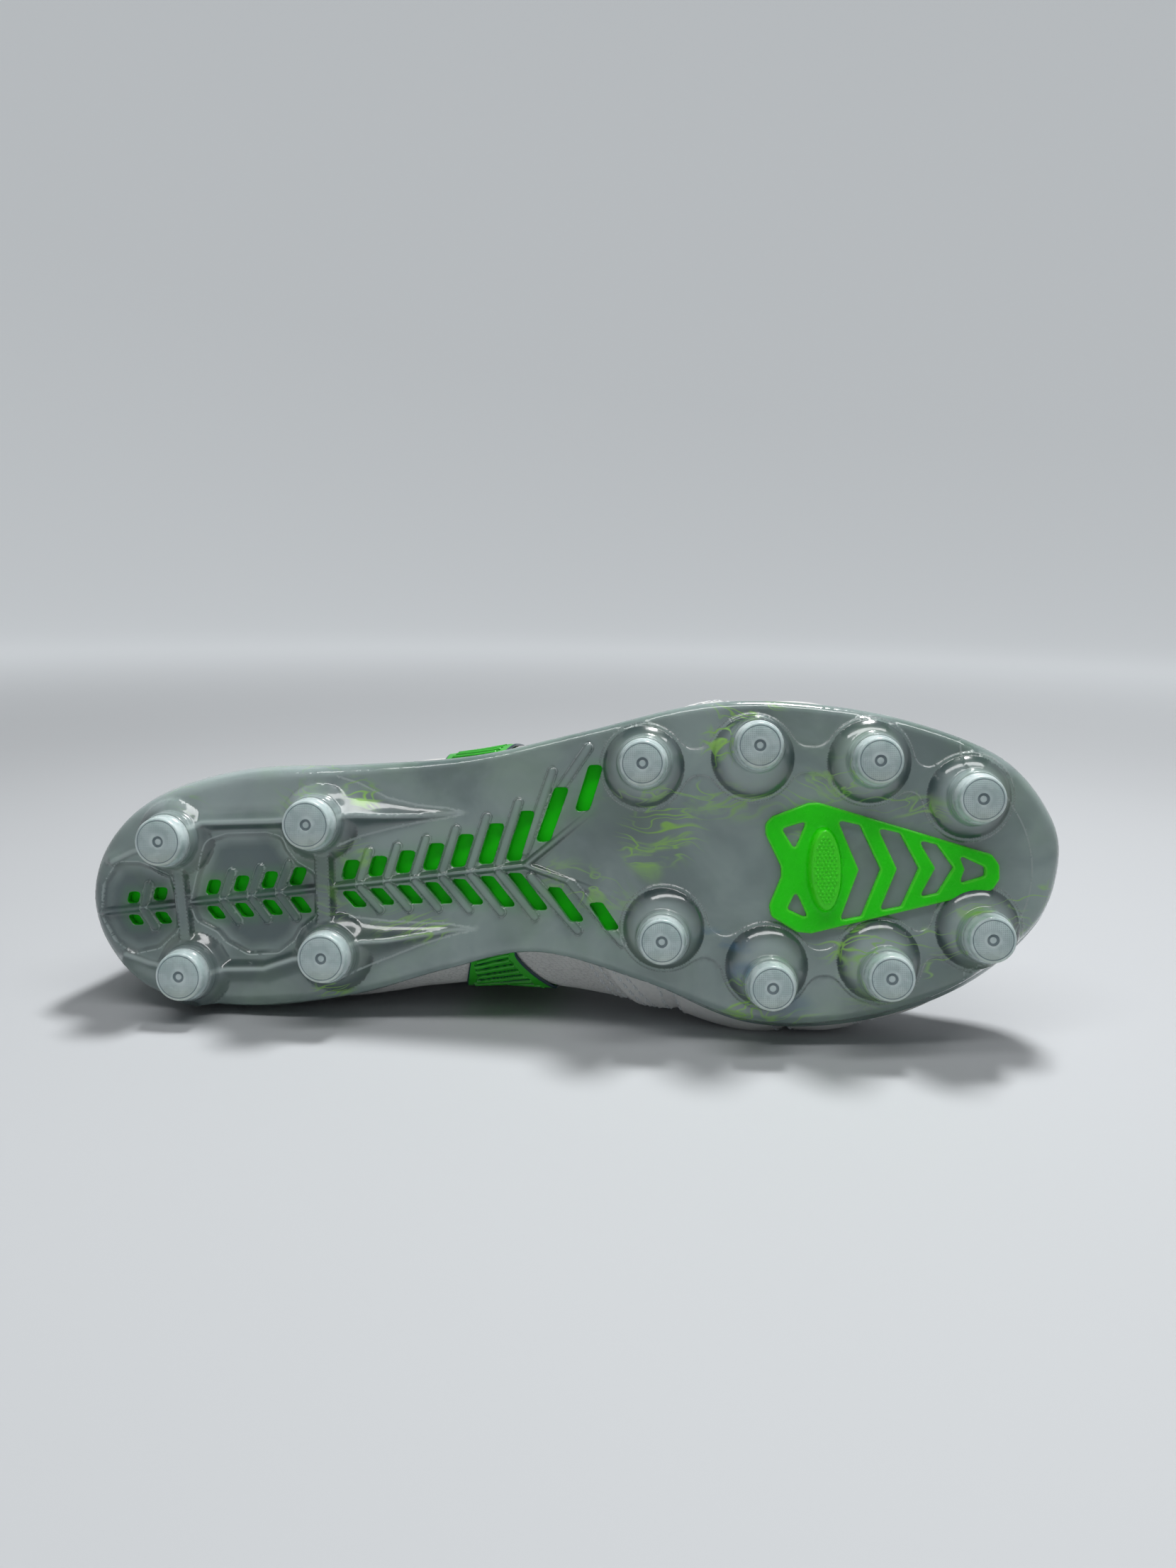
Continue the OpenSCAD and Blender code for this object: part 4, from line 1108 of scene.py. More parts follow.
def build_tip(node, place, r):
    """The clear tip of a stud, with attributes for its crosshatched face, the dark rings of its grooves and a
    yellowish tint towards the medial side of its face.
    """
    profile = np.array(stud_profile(r))
    v, f = lathe(place, profile)
    radius, height = np.vstack([np.repeat(profile, SIDES, 0), (0, profile[0, 1]), (0, profile[-1, 1])]).T
    flat = np.vstack([circle * a for a, b in profile] + [[(0, 0), (0, 0)]])
    face = ((height > 11.95) & (radius < r - .9) & (radius > 2.2)) * 1.0
    groove = ((height < 11.93) & (height > 11.3) & (radius < r - .6)) * (radius > .9) * .8
    # warm: a yellowish tint that grows towards the medial side of the face
    warm = soft((flat[:, 1] - 1) / 6) * (height > 11) * .45
    piece(node + "_tip", v, f, TIP, slot="stud_tip", stands_for=[node], sharp=60,
          face=face, groove=groove, warm=warm, local=np.column_stack([flat, height]))


paint_outsole(build_outsole(SOLE))
for k, (place, r) in enumerate(STUDS):
    build_tip(f"forefoot_stud_{k + 1}" if k < len(FORE) else f"heel_stud_{k + 1 - len(FORE)}", place, r)


# ---------------------------------------------------------------- the green insert
def distance_to(points, lines):
    """Distance from points to polylines given as arrays of dense points."""
    shape = points.shape[:-1]
    flat = points.reshape(-1, 3)
    best = np.full(len(flat), 1e9)
    for line in lines:
        lo, hi = line.min(0) - 12, line.max(0) + 12
        near = np.where(((flat > lo) & (flat < hi)).all(1))[0]
        for part in np.array_split(near, max(1, len(near) // 4000)):
            d = ((flat[part][:, None] - line[None]) ** 2).sum(-1).min(1)
            best[part] = np.minimum(best[part], d)
    return np.sqrt(best).reshape(shape)


def offset(loop, d):
    """The closed loop moved outward by d."""
    loop = np.asarray(loop, float)
    t = np.roll(loop, -1, 0) - np.roll(loop, 1, 0)
    n = np.column_stack([t[:, 1], -t[:, 0]]) / np.linalg.norm(t, axis=1)[:, None]
    x, y = loop[:, 0], loop[:, 1]
    if (x * np.roll(y, -1) - y * np.roll(x, -1)).sum() < 0:
        n = -n
    return loop + n * d


# Outlines of the insert and of its windows
INSERT = [(201, -15), (203, -17), (213, -20.5), (216, -20.5), (263, -5), (265, -2), (265, 2), (263, 5),
          (213, 16), (209, 15.5), (202, 11), (201.5, 8), (205, 0), (205, -3), (201, -12)]
WINDOWS = [[(205.5, -13.5), (212.5, -15.5), (209, -7.5)], [(209, 4), (212.5, 12), (206.5, 9)]]
for x, half, point, width in ((221, 14, 5.5, 6), (232, 11.5, 5, 6), (243, 8, 4.5, 5)):
    WINDOWS.append([(x, -1.5 - half), (x + width, -half), (x + width + point, -1.5), (x + width, half - 2.5),
                    (x, half - 1.5), (x + point, -1.5)])
WINDOWS.append([(254, -5), (261, -1.5), (261, 1), (254, 3), (255.5, -1)])


INSERT_TOP = 1.6
# The nub: its centre, the half sizes of its foot, and its rings as half sizes, height and shift
NUB = np.array([217, -2])
NUB_FOOT = (5.4, 12.2)
NUB_RINGS = [(5.1, 11.9, 1.75, -.1), (4.7, 11.6, 2.4, -.1), (4.3, 11.3, 3.6, 0), (4.05, 11.1, 4.4, .05),
             (3.8, 10.9, 4.7, .05), (3.4, 10.5, 4.8, .05), (2.2, 7, 4.8, .05), (.8, 3, 4.8, .05)]
# A raised dot: radius and height of its rings, and height of its middle
DOT_RINGS, DOT_TOP, DOT_SIDES = [(.44, 4.78), (.4, 4.95), (.24, 5.08)], 5.12, 8


def lift(p, h):
    """Points on the bent forefoot at height h."""
    x = p[:, 0] - CREASE - .01
    return on_sole((CREASE + .01, 0), np.column_stack([x, p[:, 1], np.broadcast_to(h, len(p))]))


def insert_points(loops, nub):
    """A grid inside the insert's flat face, clear of its windows and of the nub."""
    gx, gy = np.meshgrid(np.arange(200, 267, .9), np.arange(-22, 18, .9))
    points = np.column_stack([gx.ravel(), gy.ravel()])
    keep = inside(points, loops[0])
    for loop in loops[1:] + [nub]:
        keep &= ~inside(points, loop)
    for loop in loops + [nub]:
        keep &= np.linalg.norm(points[:, None] - loop[None], axis=2).min(1) > .45
    return points[keep]


def dots():
    """Places of the nub's raised dots, in staggered rows."""
    for row in range(-9, 10):
        for col in range(-3, 4):
            dx, dy = (col + .5 * (row % 2)) * 1.12, row * 1.0
            if (dx / 3.3) ** 2 + (dy / 10.2) ** 2 <= .93:
                yield dx, dy


def build_insert():
    """The green insert in one mesh: its face, rounded rims, back, oval nub and dots."""
    loops = [resample(rounded(INSERT, 2.2, 6), .7)] + [resample(rounded(w, .9, 4), .6) for w in WINDOWS]
    nub = NUB + circle * NUB_FOOT
    inner = [offset(loop, -.7 if k == 0 else .7) for k, loop in enumerate(loops)]
    xy, tris, where = fill(inner + [nub], insert_points(inner, nub))
    blocks, faces = [lift(xy, INSERT_TOP)], [tris[:, ::-1]]
    n = len(xy)
    # the rims, down to the plate
    for k, loop in enumerate(loops):
        path = []
        for t in (.25, .5, .75, 1):
            angle = t * math.pi / 2
            p = inner[k] + (loop - inner[k]) * math.sin(angle)
            path.append(lift(p, INSERT_TOP - .55 * (1 - math.cos(angle))))
        path.append(lift(loop, 0.))
        blocks.append(np.vstack(path))
        m = len(loop)
        first = n + np.arange(m)
        quads = np.column_stack([where[k], np.roll(where[k], -1), np.roll(first, -1), first])
        skirt = grid_faces(len(path), m, n, wrap_cols=True)
        area = (loop[:, 0] * np.roll(loop[:, 1], -1) - loop[:, 1] * np.roll(loop[:, 0], -1)).sum()
        outer = (area > 0) == (k == 0)
        faces.append(quads if outer else quads[:, ::-1])
        faces.append(skirt[:, ::-1] if outer else skirt)
        where[k] = first + (len(path) - 1) * m
        n += len(path) * m
    # the back
    back, tris, own_loops = fill(loops, np.zeros((0, 2)))
    ids = np.full(len(back), -1)
    for own, known in zip(own_loops, where):
        ids[own] = known
    faces.append(ids[tris])
    # the nub
    blocks.append(np.vstack([lift(NUB + (dx, 0) + circle * (rx, ry), h) for rx, ry, h, dx in NUB_RINGS]))
    near = np.linalg.norm(xy[:, None] - nub[None], axis=2).argmin(0)
    first = n + np.arange(SIDES)
    last = first + (len(NUB_RINGS) - 1) * SIDES
    faces.append(np.column_stack([near, first, np.roll(first, -1), np.roll(near, -1)]))
    faces.append(grid_faces(len(NUB_RINGS), SIDES, n, wrap_cols=True))
    n += len(blocks[-1])
    blocks.append(on_sole(NUB, [[.05, 0, NUB_RINGS[-1][2]]]))
    faces.append(np.column_stack([last, np.full(SIDES, n), np.roll(last, -1)]))
    n += 1
    a = np.linspace(0, 2 * np.pi, DOT_SIDES, endpoint=False)
    ring = np.column_stack([np.cos(a), np.sin(a)])
    for place in dots():
        rings = [np.column_stack([ring * r + place, np.full(DOT_SIDES, h)]) for r, h in DOT_RINGS]
        blocks.append(on_sole(NUB, np.vstack(rings + [[(*place, DOT_TOP)]])))
        faces.append(grid_faces(len(rings), DOT_SIDES, n, wrap_cols=True))
        last = n + (len(rings) - 1) * DOT_SIDES + np.arange(DOT_SIDES)
        middle = n + len(rings) * DOT_SIDES
        faces.append(np.column_stack([last, np.full(DOT_SIDES, middle), np.roll(last, -1)]))
        n = middle + 1
    verts = np.vstack(blocks)
    edges = [np.column_stack([w, 0 * w[:, 0]]) for w in loops]
    # rim: painted highlight along the insert's edges, and weaker over the whole nub
    rim = soft((.75 - distance_to(verts * (1, 1, 0), edges)) / .5)
    on_nub = ((verts[:, 0] - NUB[0]) / 4.2) ** 2 + ((verts[:, 1] - NUB[1]) / 11.2) ** 2 < 1
    piece("traction_insert_green", verts, [tuple(f) for b in faces for f in b], GREEN, slot="insert",
          stands_for=["traction_insert"], sharp=50, rim=np.maximum(rim, .7 * on_nub))


build_insert()


# ---------------------------------------------------------------- the upper
def top_at(s):
    """The v of the upper's top edge."""
    return along(TOP_T, s)[..., 0]


def same(value):
    """A function with the same value everywhere."""
    return lambda s: value + 0 * s


def cells_of(q, low, high, cols, start=None, stop=None):
    """Side, station and height of a grid. q runs from the lateral side, below 0, to the medial one."""
    c = np.linspace(0, 1, cols + 1)[None]
    side = sides_of(q)[:, None] + 0 * c
    s = np.abs(q)[:, None] + 0 * c
    v = low(s) + (high(s) - low(s)) * c
    for _ in range(2):
        if start is not None:
            t = (np.abs(q) - np.abs(q).min()) / (np.abs(q).max() - np.abs(q).min())
            a, b = start(side, v), stop(side, v)
            s = a + (b - a) * t[:, None]
        v = low(s) + (high(s) - low(s)) * c
    return side, s, v


def arch_of(s, low, cols, start=None):
    """The same over the ridge: columns from the medial side's foot to the lateral one's."""
    def stop(side, v):
        return s.max() + 0 * v

    med, lat = (cells_of(q, low, same(1), cols, start, stop) for q in (s, -s))
    return [np.concatenate([m, l[:, -2::-1]], 1) for m, l in zip(med, lat)]


def normals_of(p, back):
    """Unit normals of a grid of points, away from the grid behind it."""
    du = np.gradient(p, axis=0)
    dv = np.gradient(p, axis=1)
    n = np.cross(du, dv)
    size = np.linalg.norm(n, axis=-1, keepdims=True)
    n = n / np.maximum(size, 1e-9)
    n[-1] = np.where(size[-1] < .02 * np.median(size), n[-2], n[-1])
    flip = np.sign(np.median(((p - back) * n).sum(-1)))
    return n * flip


def double(outer, inner, lip=.8, fold=False):
    """A closed sheet between two grids, with rounded rims. Where it folds, the last row meets itself."""
    rows, cols = outer.shape[:2]
    if fold:
        for g in (outer, inner):
            g[-1] = (g[-1] + g[-1, ::-1]) / 2
    ids = np.arange(rows * cols).reshape(rows, cols)
    loop = np.concatenate([ids[0], ids[1:, -1], ids[-1, -2::-1], ids[-2:0:-1, 0]])
    i, j = loop // cols, loop % cols
    o, n = outer[i, j], inner[i, j]
    near = outer[np.clip(i, 1, rows - 2), np.clip(j, 1, cols - 2)]
    away = o - near
    away = away / np.maximum(np.linalg.norm(away, axis=1), 1e-9)[:, None]
    half, mid = (o - n) / 2, (o + n) / 2
    r = np.linalg.norm(half, axis=1)[:, None] * lip
    rings = [mid + half * math.cos(a) + away * r * math.sin(a) for a in np.radians([30, 60, 90, 120, 150])]
    verts = np.vstack([outer.reshape(-1, 3), inner.reshape(-1, 3)] + rings)
    faces = [grid_faces(rows, cols), grid_faces(rows, cols, rows * cols, flip=True)]
    base = 2 * rows * cols
    m = len(loop)
    ring_ids = [loop] + [base + k * m + np.arange(m) for k in range(5)] + [loop + rows * cols]
    open_ = ~((i == rows - 1) & (np.roll(i, -1) == rows - 1)) if fold else np.full(m, True)
    for a, b in zip(ring_ids, ring_ids[1:]):
        faces.append(np.column_stack([a, b, np.roll(b, -1), np.roll(a, -1)])[open_])
    source = np.concatenate([np.arange(rows * cols)] * 2 + [loop] * 5)
    return verts, [tuple(f) for block in faces for f in block], source


def cloth_uv(p):
    """Places on the sheet laid flat, in millimetres."""
    steps = np.linalg.norm(np.diff(p, axis=1), axis=-1)
    w = np.concatenate([np.zeros((len(p), 1)), np.cumsum(steps, axis=1)], 1)
    return np.stack([p[..., 0], w, 0 * w], -1)


def sheet(name, cells, outer, inner, mat, height=None, values=None, lip=.8, fold=False, **named):
    """A soft sheet on the last: outer and inner are depths under the skin, height stands out of it."""
    side, s, v = cells
    out, back = skin(side, s, v, outer), skin(side, s, v, inner)
    if side[0, 0] != side[0, -1]:
        mid = side.shape[1] // 2
        for g, depth in ((out, outer), (back, inner)):
            depth = np.broadcast_to(depth, s.shape)[:, mid]
            g[:, mid] = (g[:, mid] + skin(-side[:, mid], s[:, mid], v[:, mid], depth)) / 2
    uv = cloth_uv(out)
    extra = {key: f(side, s, v, out).ravel() for key, f in (values or {}).items()}
    if height is not None:
        out = out + normals_of(out, back) * height(side, s, v, out)[..., None]
    verts, faces, source = double(out, back, lip, fold)
    extra = {key: values_[source] for key, values_ in extra.items()}
    return piece(name, verts, faces, mat, merge=True, cloth=uv.reshape(-1, 3)[source], **extra, **named)


# A stitch: its length, the gap to the next one, its radius and sides, and its rings as the share of the
# length from its middle and the share of the radius
STITCH, STITCH_GAP, STITCH_R, STITCH_SIDES = 2.6, .55, .38, 6
STITCH_RINGS = [(-.5, .25), (-.44, .8), (-.2, 1), (.2, 1), (.44, .8), (.5, .25)]


def sew(name, lines, mat, slot="upper_side"):
    """Rows of stitches as small rounded bars along lines on the surface: (points, normals)."""
    verts, faces = [], []
    sides, rings = STITCH_SIDES, STITCH_RINGS
    for points, normals in lines:
        walk = np.concatenate([[0], np.cumsum(np.linalg.norm(np.diff(points, axis=0), axis=1))])
        count = int(walk[-1] / (STITCH + STITCH_GAP))
        for k in range(count):
            a = (k + .5) * walk[-1] / count
            at = [np.interp(x, walk, q) for x in (a - STITCH / 2, a, a + STITCH / 2) for q in points.T]
            p0, p1, p2 = np.array(at).reshape(3, 3)
            n = np.array([np.interp(a, walk, q) for q in normals.T])
            t = (p2 - p0) / np.linalg.norm(p2 - p0)
            n = n - t * (n @ t)
            n /= np.linalg.norm(n)
            b = np.cross(t, n)
            start = len(verts)
            for u, w in rings:
                centre = p1 + t * u * STITCH - n * STITCH_R * (.1 + 2.6 * u * u)
                for m in range(sides):
                    angle = 2 * math.pi * m / sides
                    out = n * math.cos(angle) + b * 1.15 * math.sin(angle)
                    verts.append(centre + STITCH_R * w * out)
            faces += [tuple(f) for f in grid_faces(len(rings), sides, start, wrap_cols=True)[:, [0, 3, 2, 1]]]
            faces.append(tuple(range(start, start + sides)))
            faces.append(tuple(range(start + (len(rings) - 1) * sides, start + len(rings) * sides)))
    return piece(name, np.array(verts), faces, mat, slot=slot, sharp=60)


def tube_mesh(points, normals, wide, thick, sides):
    """A flattened tube along points, with its flat side to the normals."""
    t = np.gradient(points, axis=0)
    t /= np.linalg.norm(t, axis=1)[:, None]
    n = normals - t * (normals * t).sum(1)[:, None]
    n /= np.linalg.norm(n, axis=1)[:, None]
    b = np.cross(t, n)
    a = np.linspace(0, 2 * np.pi, sides, endpoint=False)
    wide, thick = (np.broadcast_to(q, len(points))[:, None, None] for q in (wide, thick))
    rings = points[:, None] + (n[:, None] * np.sin(a)[None, :, None] * thick / 2
                               + b[:, None] * np.cos(a)[None, :, None] * wide / 2)
    verts = rings.reshape(-1, 3)
    faces = [tuple(f) for f in grid_faces(len(points), sides, wrap_cols=True)]
    faces += [tuple(range(sides)), tuple(range(len(verts) - sides, len(verts)))]
    walk = np.concatenate([[0], np.cumsum(np.linalg.norm(np.diff(points, axis=0), axis=1))])
    walk = np.repeat(walk, sides)
    return verts, faces, np.stack([walk, np.tile(a, len(points)) / (2 * np.pi) * 8, 0 * walk], 1)


def smooth_path(points, per=10):
    """A Catmull-Rom line through points."""
    p = np.asarray(points, float)
    p = np.vstack([2 * p[0] - p[1], p, 2 * p[-1] - p[-2]])
    out = []
    for i in range(1, len(p) - 2):
        t = np.linspace(0, 1, per, endpoint=False)[:, None]
        a, b, c, d = p[i - 1:i + 3]
        out.append(.5 * (2 * b + (c - a) * t + (2 * a - 5 * b + 4 * c - d) * t ** 2
                         + (3 * b - a - 3 * c + d) * t ** 3))
    return np.vstack(out + [p[-2:-1]])


def seam_station(side, v):
    """Station of the seam between the vamp and the quarters."""
    low = 6.6 + .45 * soft((v + 1) / 1.1)
    return low + (SEAM_TOP - 7.05) * soft((v + .1) / .85)


def vamp_lines(shift=0.0):
    """The stitched valleys of the vamp, as side, stations and heights."""
    lines = []
    for side in (MEDIAL, LATERAL):
        for s0 in (7.13, 8.15, 8.9, 9.75, 10.55):
            v = np.linspace(-.97, .62 - .05 * (s0 - 7), 90)
            lines.append((side, s0 + .25 * (v + 1) + .35 * soft((v - .1) / .9) + shift, v))
    return lines


VALLEYS = [skin(side, s, v) for side, s, v in vamp_lines()]


def vamp_height(side, s, v, p):
    """Puffed lobes between the valleys, with small folds beside them and a step at the seam."""
    d = distance_to(p, VALLEYS)
    puff = .75 * (1 - np.exp(-(d / 6.5) ** 2)) - 1.15 * np.exp(-(d / 1.7) ** 2)
    rise = soft((v + 1) / .35) * (1 - .6 * soft((s - 10.8) / 1))
    wave = np.sin(1.9 * p[..., 0] + 2.4 * np.sin(.33 * p[..., 1] + .21 * p[..., 2]))
    folds = .16 * wave * np.exp(-(d / 3.0) ** 2)
    step = .45 * np.exp(-np.maximum(s - seam_station(side, v), 0) / .16)
    broad = .22 * np.sin(.21 * p[..., 0] + .8) * np.sin(.17 * p[..., 1] + .11 * p[..., 2] + 1.3)
    return (puff + folds + broad) * rise + step


def band_back(side):
    """Station of the side band's rear edge."""
    return np.where(side > 0, 5.25, 4.7)


def band_front(side, v):
    """Station of the side band's front edge."""
    return np.where(side > 0, 6.25 - .5 * soft(-v / .75), 5.3 - .06 * soft(-v / .75))


def band_height(side, s, v, p):
    """Ribs and grooves along the band, of unequal length."""
    u = (s - band_back(side)) / (band_front(side, v) - band_back(side))
    w = cloth_uv(p)[..., 1]
    k = w / 2.7
    i = np.floor(k)
    f = k - i
    start = .07 + .07 * np.abs(np.sin(i * 2.3 + 1))
    stop = .93 - .1 * np.abs(np.sin(i * 1.7 + .4))
    within = soft((u - start) / .02) * soft((stop - u) / .02)
    groove = soft((.27 - np.abs(f - .5)) / .1) * within
    margin = soft(np.minimum(u, 1 - u) / .03)
    return .45 * (1 - np.sin(np.pi * f) ** 2) * margin * within - .95 * groove


def band_groove(side, s, v, p):
    """How dark the band is: in its grooves and at its ends."""
    u = (s - band_back(side)) / (band_front(side, v) - band_back(side))
    rim = soft((.012 - np.minimum(u, 1 - u)) / .008)
    return np.maximum(np.clip(-(band_height(side, s, v, p) - .05) / .5, 0, 1), rim)


def tongue_low(s):
    """The v of the tongue's lower edges."""
    top = 1 + 0 * s
    lower = .62 + (top_at(s) - .16 - .62) * soft((s - 4.85) / .6)
    upper = .8 + (.62 - .8) * soft((s - 3.5) / .8)
    return np.where(s < 4.85, upper, lower) * top


def collar_depth(s, v):
    """Depth of the padded collar's face."""
    rise = np.clip((v - .06) / (top_at(s) - .06), 0, 1)
    return back_depth(s) + 3.2 * np.sin(np.radians(168 * rise)) * (1 - soft((s - 3.6) / .8))


def back_depth(s):
    """Depth of the linings: behind the heel counter, then behind the upper alone."""
    at_heel, ahead_of_it = UPPER + .2 + 1.1 + .2, UPPER + .5
    return at_heel + (ahead_of_it - at_heel) * soft((s - 3.6) / 1)


def quarter_top(s):
    """The v of the quarters' top edge, lower under the eyestay."""
    return top_at(s) - .12 * soft((s - 4.6) / .4)


def rim_value(s, up):
    """The v at a height above the plate's rim."""
    return value_at(s, along(RIM_T, s)[..., 0] + up)


# The eyestay laid flat: millimetres for one station and for one unit of v, its ends, sizes and stitch rows
STAY_U, STAY_V = 33, 80
STAY_START, STAY_END = 4.75, 7.5
STAY_LONG, STAY_WIDE = (STAY_END - STAY_START) * STAY_U, 19.2
STAY_ROWS = (2.4, 4.1)
# The eyelets: stations, how far below the top edge in v, and the radius of their holes
EYELETS = np.linspace(5.15, 7.1, 6)
EYELET_EDGE, HOLE_R = .065, 2.85


def row_on(side, s, v, lift, depth=0.0):
    """One row of stitches: points that lie lift above the surface, and their normals."""
    n = outward(side, s, v)
    return skin(side, s, v, depth) + n * np.broadcast_to(lift, np.shape(s))[:, None], n


def build_vamp():
    """The puffed leather over the toes, with a double row along each valley and along its seam."""
    cells = arch_of(np.linspace(SEAM_TOP, LAST, 150), same(-1), 74, seam_station)
    sheet("vamp_leather", cells, 0, UPPER, WHITE, height=vamp_height, slot="upper_front",
          stands_for=["vamp"], fold=True)
    rows = [row for shift in (-.075, .075) for row in vamp_lines(shift)]
    for side in (MEDIAL, LATERAL):
        for gap in (.06, .15):
            v = np.linspace(-.95, .7, 160)
            rows.append((side, seam_station(side, v) + gap, v))
    lines = []
    for side, s, v in rows:
        height = vamp_height(np.full(len(s), side), s, v, skin(side, s, v))
        lines.append(row_on(side, s, v, height + .12))
    sew("vamp_stitching", lines, THREAD, slot="upper_front")


def quarter_height(side, s, v, p):
    """Folds of the quarter, with a flat bed for the side band."""
    near = soft((s - band_back(side) + .04) / .04) * soft((band_front(side, v) + .04 - s) / .04)
    wave = np.sin(.5 * p[..., 0] + .32 * p[..., 2] + 1.4 * np.sin(.13 * p[..., 2]))
    folds = .28 * wave * np.exp(-((s - 5.2) / 1.6) ** 2) * soft((v + .2) / .4)
    return folds * (1 - near) - .15 * near


def build_quarter(side, name):
    """One side of the upper from the heel to the vamp's seam. Returns its stitch rows."""
    cells = cells_of(side * np.linspace(1e-6, 7.3, 210), same(-1), quarter_top, 70,
                     lambda side_, v: 0 * v, lambda side_, v: seam_station(side_, v) - .04)
    sheet(name + "_quarter_fabric", cells, 0, UPPER, GRAIN, height=quarter_height, slot="upper_side",
          stands_for=[name + "_quarter"])
    v = np.linspace(-.95, .66, 150)
    return [row_on(side, seam_station(side, v) - gap, v, .14) for gap in (.11, .2)]


def build_band(side, name):
    """The moulded green panel with its grooves."""
    first = float(band_back(side))
    cells = cells_of(side * np.linspace(first, first + 1, 90), lambda s: rim_value(s, .8),
                     lambda s: top_at(s) - .27, 210, lambda side_, v: first + 0 * v, band_front)
    sheet(name + "_side_band_moulded", cells, -1.15, -.3, BAND, height=band_height, slot="side_band",
          stands_for=[name + "_side_band"], values=dict(groove=band_groove), lip=1)


def on_stay(flat):
    """Station and height of points given on the eyestay laid flat."""
    s = flat[:, 0] / STAY_U + STAY_START
    return s, flat[:, 1] / STAY_V + top_at(s)


def eyelet_hole(side, s0):
    """A round hole of the eyestay, as a loop on the eyestay laid flat."""
    s, v = np.array([s0]), top_at(np.array([s0])) - EYELET_EDGE
    centre = skin(side, s, v)[0]
    per_s = np.linalg.norm(skin(side, s + .02, v)[0] - centre) / .02
    per_v = np.linalg.norm(skin(side, s, v + .02)[0] - centre) / .02
    a = np.linspace(0, 2 * np.pi, 28, endpoint=False)
    return np.column_stack([(s0 - STAY_START + HOLE_R / per_s * np.cos(a)) * STAY_U,
                            (-EYELET_EDGE + HOLE_R / per_v * np.sin(a)) * STAY_V])


def build_eyestay(side, name):
    """The leather strip that holds the eyelets. Returns its stitch rows."""
    corners = [(0, -STAY_WIDE), (STAY_LONG, -STAY_WIDE), (STAY_LONG, 0), (0, 0)]
    outline = resample(rounded(corners, 4.5, 8), .8)
    holes = [eyelet_hole(side, s) for s in EYELETS]
    gx, gy = np.meshgrid(np.arange(.5, STAY_LONG - .25, .9), np.arange(.3 - STAY_WIDE, -.2, .9))
    points = np.column_stack([gx.ravel(), gy.ravel()])
    keep = inside(points, outline) & (np.linalg.norm(points[:, None] - outline[None], axis=2).min(1) > .5)
    for loop in holes:
        c = loop.mean(0)
        keep &= ~inside(points, c + (loop - c) * 1.15)
    flat, tris, loops = fill([outline] + holes, points[keep])
    s, v = on_stay(flat)
    s = np.clip(s, STAY_START, STAY_END)
    n = outward(side, s, v)
    to_edge = np.linalg.norm(flat[:, None] - outline[None], axis=2).min(1)
    rolled = .45 * (1 - soft(to_edge / 1.1))
    sewn_dip = .16 * np.exp(-((to_edge - STAY_ROWS[0]) / .5) ** 2)
    outer = skin(side, s, v, -1.3) + n * (.1 - rolled - sewn_dip)[:, None]
    m = len(outer)
    faces = [tuple(t) for t in tris] + [tuple(t[::-1] + m) for t in tris]
    for loop in loops:
        faces += [(x, y, y + m, x + m) for x, y in zip(loop, np.roll(loop, -1))]
    piece(name + "_eyestay_overlay", np.vstack([outer, skin(side, s, v, -.3)]), faces, WHITE, slot="eyestay",
          sharp=50, stands_for=[name + "_eyestay"], cloth=np.vstack([np.column_stack([flat, 0 * s])] * 2))
    rows = []
    for inset in STAY_ROWS:
        low, high, end = inset - STAY_WIDE, -inset * .55, STAY_LONG - inset
        ring = resample(rounded([(inset, low), (end, low), (end, high), (inset, high)], 3, 8), 1)
        ring = ring[ring[:, 1] < low + .2]
        ring = ring[np.argsort(ring[:, 0])]
        s = np.clip(ring[:, 0] / STAY_U + STAY_START, STAY_START + .01, STAY_END - .01)
        rows.append(row_on(side, s, ring[:, 1] / STAY_V + top_at(s), .12, -1.3))
    return rows


def build_heel_stay():
    """The strip over the back seam, with a double row on each side."""
    def height(side, s, v, p):
        return .14 - .3 * np.exp(-((np.abs(s) - .82) / .035) ** 2) + .1 * soft((.7 - s) / .1)

    cells = cells_of(np.linspace(-1, 1, 90), lambda s: rim_value(s, 1), top_at, 90)
    sheet("heel_stay_overlay", cells, -1.05, -.2, WHITE, height=height, slot="upper_front",
          stands_for=["heel_stay"], lip=1)
    v = np.linspace(.02, .46, 90)
    rows = [row_on(side, np.full(90, s), v, .1, -1.1) for side in (MEDIAL, LATERAL) for s in (.79, .86)]
    sew("heel_stitching", rows, THREAD)


def tongue_end(side, v):
    """Station of the tongue's free end, rounded off at its corners."""
    u = np.clip((1 - v) / .26, 0, 1.1)
    return np.where(side > 0, 3.69 + .34 * u, 3.66 + .25 * u) + .08 * u ** 4


def tongue_height(side, s, v, p):
    """The padded crown, with a sewn channel every third of a station."""
    low = tongue_low(s)
    rise = np.clip((v - low) / (1 - low), 0, 1)
    crown = .9 * soft(rise / .3) * soft((s - tongue_end(side, v)) / .3)
    k = (s - 3.9) / .34
    dip = np.exp(-((k - np.round(k)) / .085) ** 2) * soft((k - .6) / .3) * soft((9.5 - k) / .5)
    return crown * (1 - .95 * dip) - .55 * (1 - soft(rise / .1)) - .25 * dip


def tongue_edge(side, s, v, p):
    return soft(1 - (v - tongue_low(s)) / .05)


